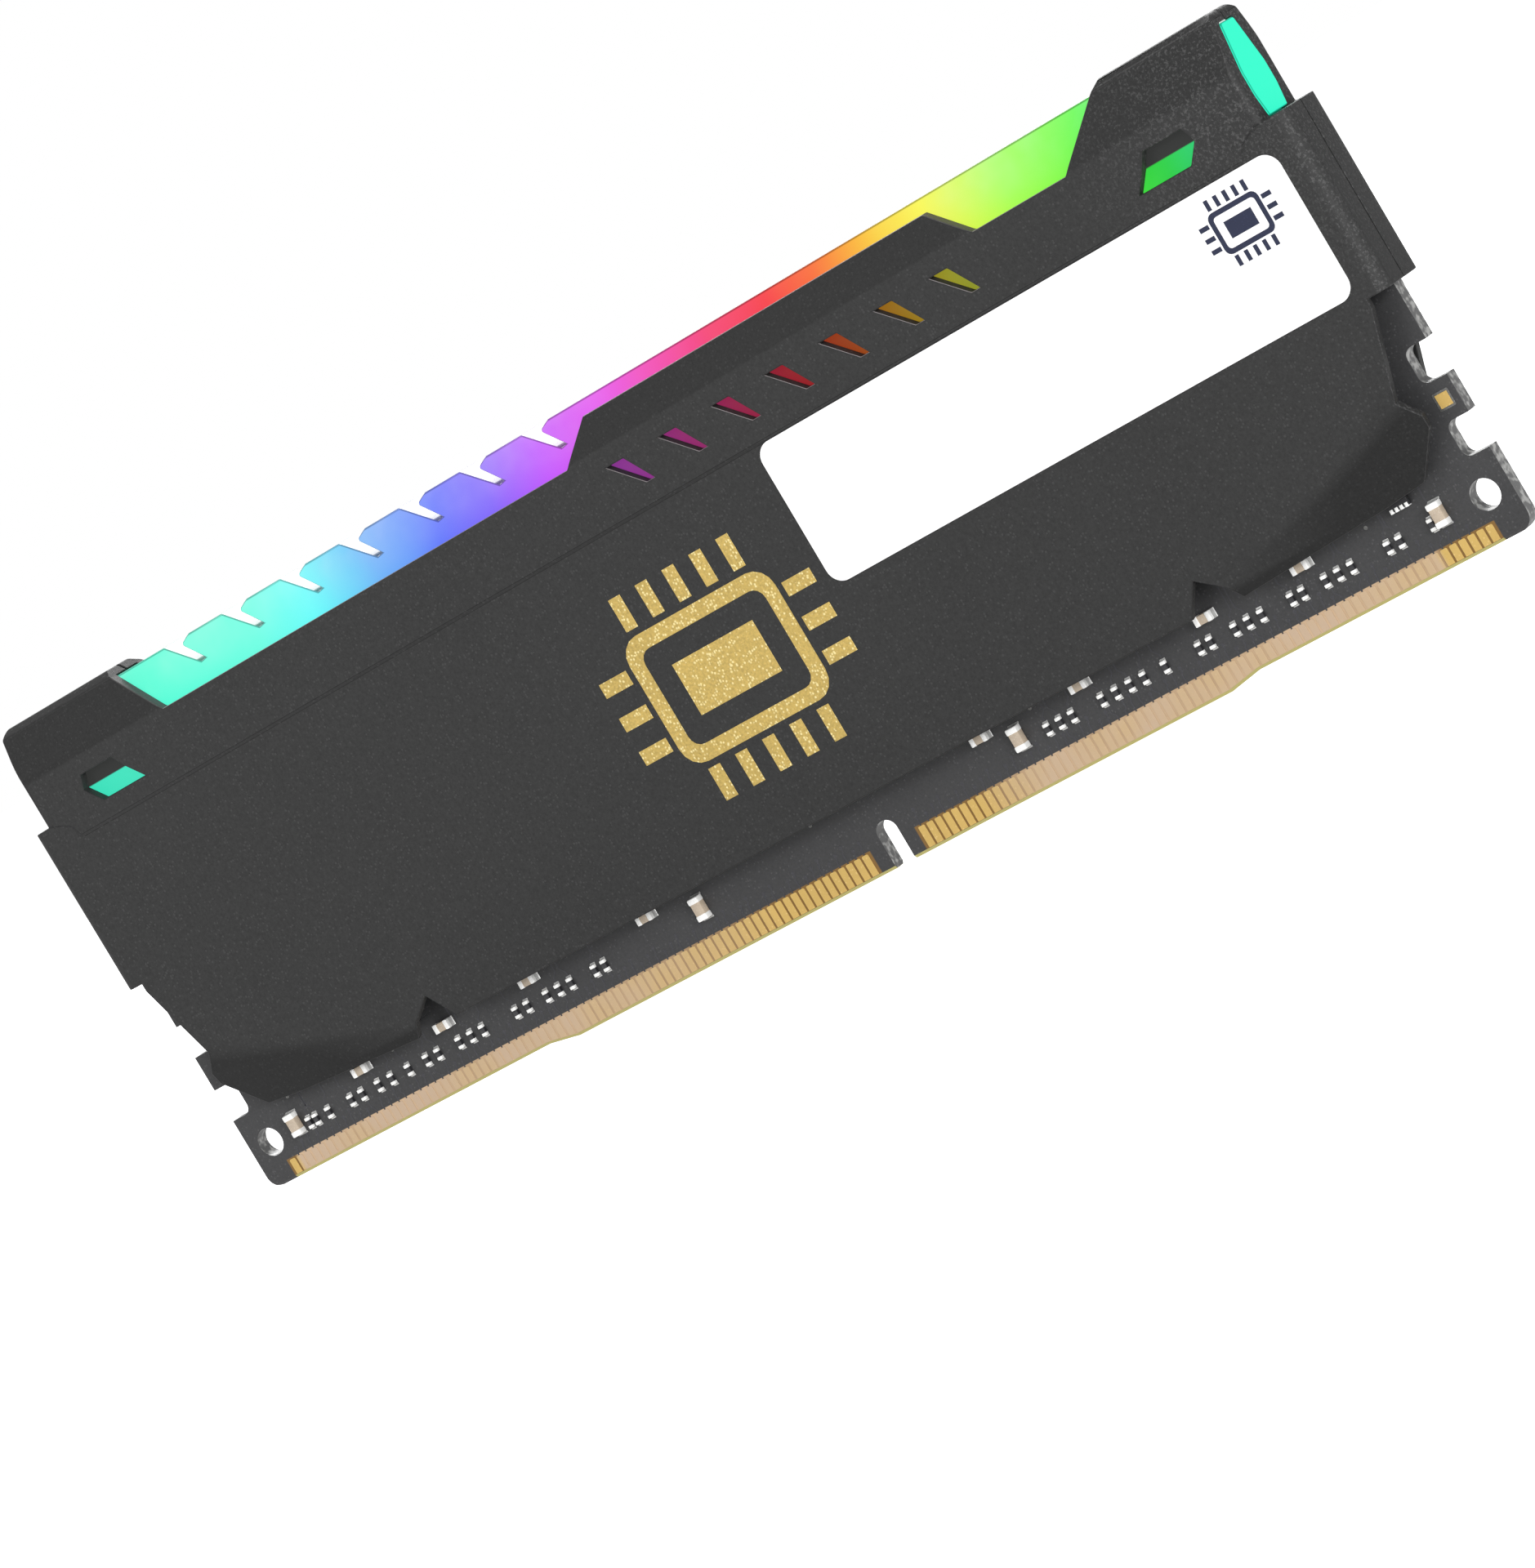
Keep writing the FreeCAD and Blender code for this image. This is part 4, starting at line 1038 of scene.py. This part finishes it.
for side, sideName in ((front, "Front"), (back, "Back")):
    mark = standing(chipPictogram(1.0, markLook["ink"]), [markLook["place"]], side, surface=faceY)
    addPiece("goldMark" + sideName, mark, ["glitterGold"], smooth=False)
labelPlace = (labelHigh.x - markLook["labelInset"][0], labelHigh.z - markLook["labelInset"][1])
smallMark = chipPictogram(markLook["labelShare"], markLook["labelInk"])
inkMark = standing(smallMark, [labelPlace], front, surface=-labelLow.y)
addPiece("inkMark", inkMark, ["labelInk"], smooth=False)
print("printed marks placed")


# floor, light and camera

floorLook = {
    "half": 4.0, "across": 9, "drop": 0.05 * mm, "color": (0.45, 0.45, 0.45, 1.0), "roughness": 0.9,
    "specular": 0.05, "glow": 0.6, "shownGlow": 0.95,  # light given to the module, and as seen directly
}


def addFloor(look):
    # a wide flat sheet under the lower edge
    across = look["across"]
    steps = np.linspace(-look["half"], look["half"], across)
    x, y = np.meshgrid(steps, steps)
    points = np.column_stack([x.ravel(), y.ravel(), np.full(x.size, frameLow.z - look["drop"])])
    row, column = np.meshgrid(np.arange(across - 1), np.arange(across - 1), indexing="ij")
    first = (row * across + column).ravel()
    squares = np.stack([first, first + 1, first + across + 1, first + across], -1)
    mesh = bpy.data.meshes.new("paleFloor")
    mesh.from_pydata(points.tolist(), [], squares.tolist())
    material = bpy.data.materials.new("floorPaint")
    material.use_nodes = True
    tree = material.node_tree
    shader = tree.nodes["Principled BSDF"]
    shown = added(tree, "LightPath").outputs["Is Camera Ray"]
    fill(tree, shader, {
        "Base Color": look["color"], "Roughness": look["roughness"], "Specular IOR Level": look["specular"],
        "Emission Color": pureWhite,
        "Emission Strength": ramped(tree, shown, 0.0, 1.0, look["glow"], look["shownGlow"]),
    })
    mesh.materials.append(material)
    linked("paleFloor", mesh)


def directionFrom(azimuth, elevation):
    # from the module towards a viewer, azimuth 0 being in front of it
    turn, tilt = math.radians(azimuth), math.radians(elevation)
    return Vector((math.sin(turn) * math.cos(tilt), -math.cos(turn) * math.cos(tilt), math.sin(tilt)))


lightLook = {
    # degrees round from the front, degrees up, side of the square in metres, watts
    "keyLight": (52.0, 7.0, 0.5, 8.4),
    "fillLight": (-25.0, 30.0, 0.6, 2.5),
    "rearLight": (200.0, 40.0, 0.5, 11.0),
}
lightDistance, skyBrightness = 1.0, 0.35


def addLight(name, azimuth, elevation, size, power):
    # a square soft light that looks at the module's middle
    away = directionFrom(azimuth, elevation)
    data = bpy.data.lights.new(name, "AREA")
    data.shape = "SQUARE"
    data.size = size
    data.energy = power
    light = linked(name, data)
    light.location = away * lightDistance + (frameLow + frameHigh) / 2
    light.rotation_euler = away.to_track_quat("Z", "Y").to_euler()


def addWorld(brightness):
    # white as seen by the camera, a softer white for lighting
    world = bpy.data.worlds.new("studioWhite")
    world.use_nodes = True
    tree = world.node_tree
    shown = added(tree, "LightPath").outputs["Is Camera Ray"]
    strength = ramped(tree, shown, 0.0, 1.0, brightness, 1.0)
    fill(tree, tree.nodes["Background"], {"Color": pureWhite, "Strength": strength})
    bpy.context.scene.world = world


cameraLook = {
    "azimuth": 33.538, "elevation": 3.422, "roll": -30.769, "distance": 555.63 * mm,
    "aim": inMm(-3.590, -0.006, 10.645), "lens": 161.588,
}


def addCamera(look):
    away = directionFrom(look["azimuth"], look["elevation"])
    data = bpy.data.cameras.new("mainCamera")
    data.lens = look["lens"]
    data.sensor_width = 36.0
    data.clip_start = 0.02
    data.clip_end = 50.0
    camera = linked("mainCamera", data)
    roll = Matrix.Rotation(math.radians(look["roll"]), 4, "Z")
    turned = away.to_track_quat("Z", "Y").to_matrix().to_4x4() @ roll
    camera.matrix_world = Matrix.Translation(Vector(look["aim"]) + away * look["distance"]) @ turned
    bpy.context.scene.camera = camera


addFloor(floorLook)
addWorld(skyBrightness)
for name, settings in lightLook.items():
    addLight(name, *settings)
addCamera(cameraLook)
bpy.context.scene.view_settings.view_transform = "Standard"
print("floor, light and camera set")
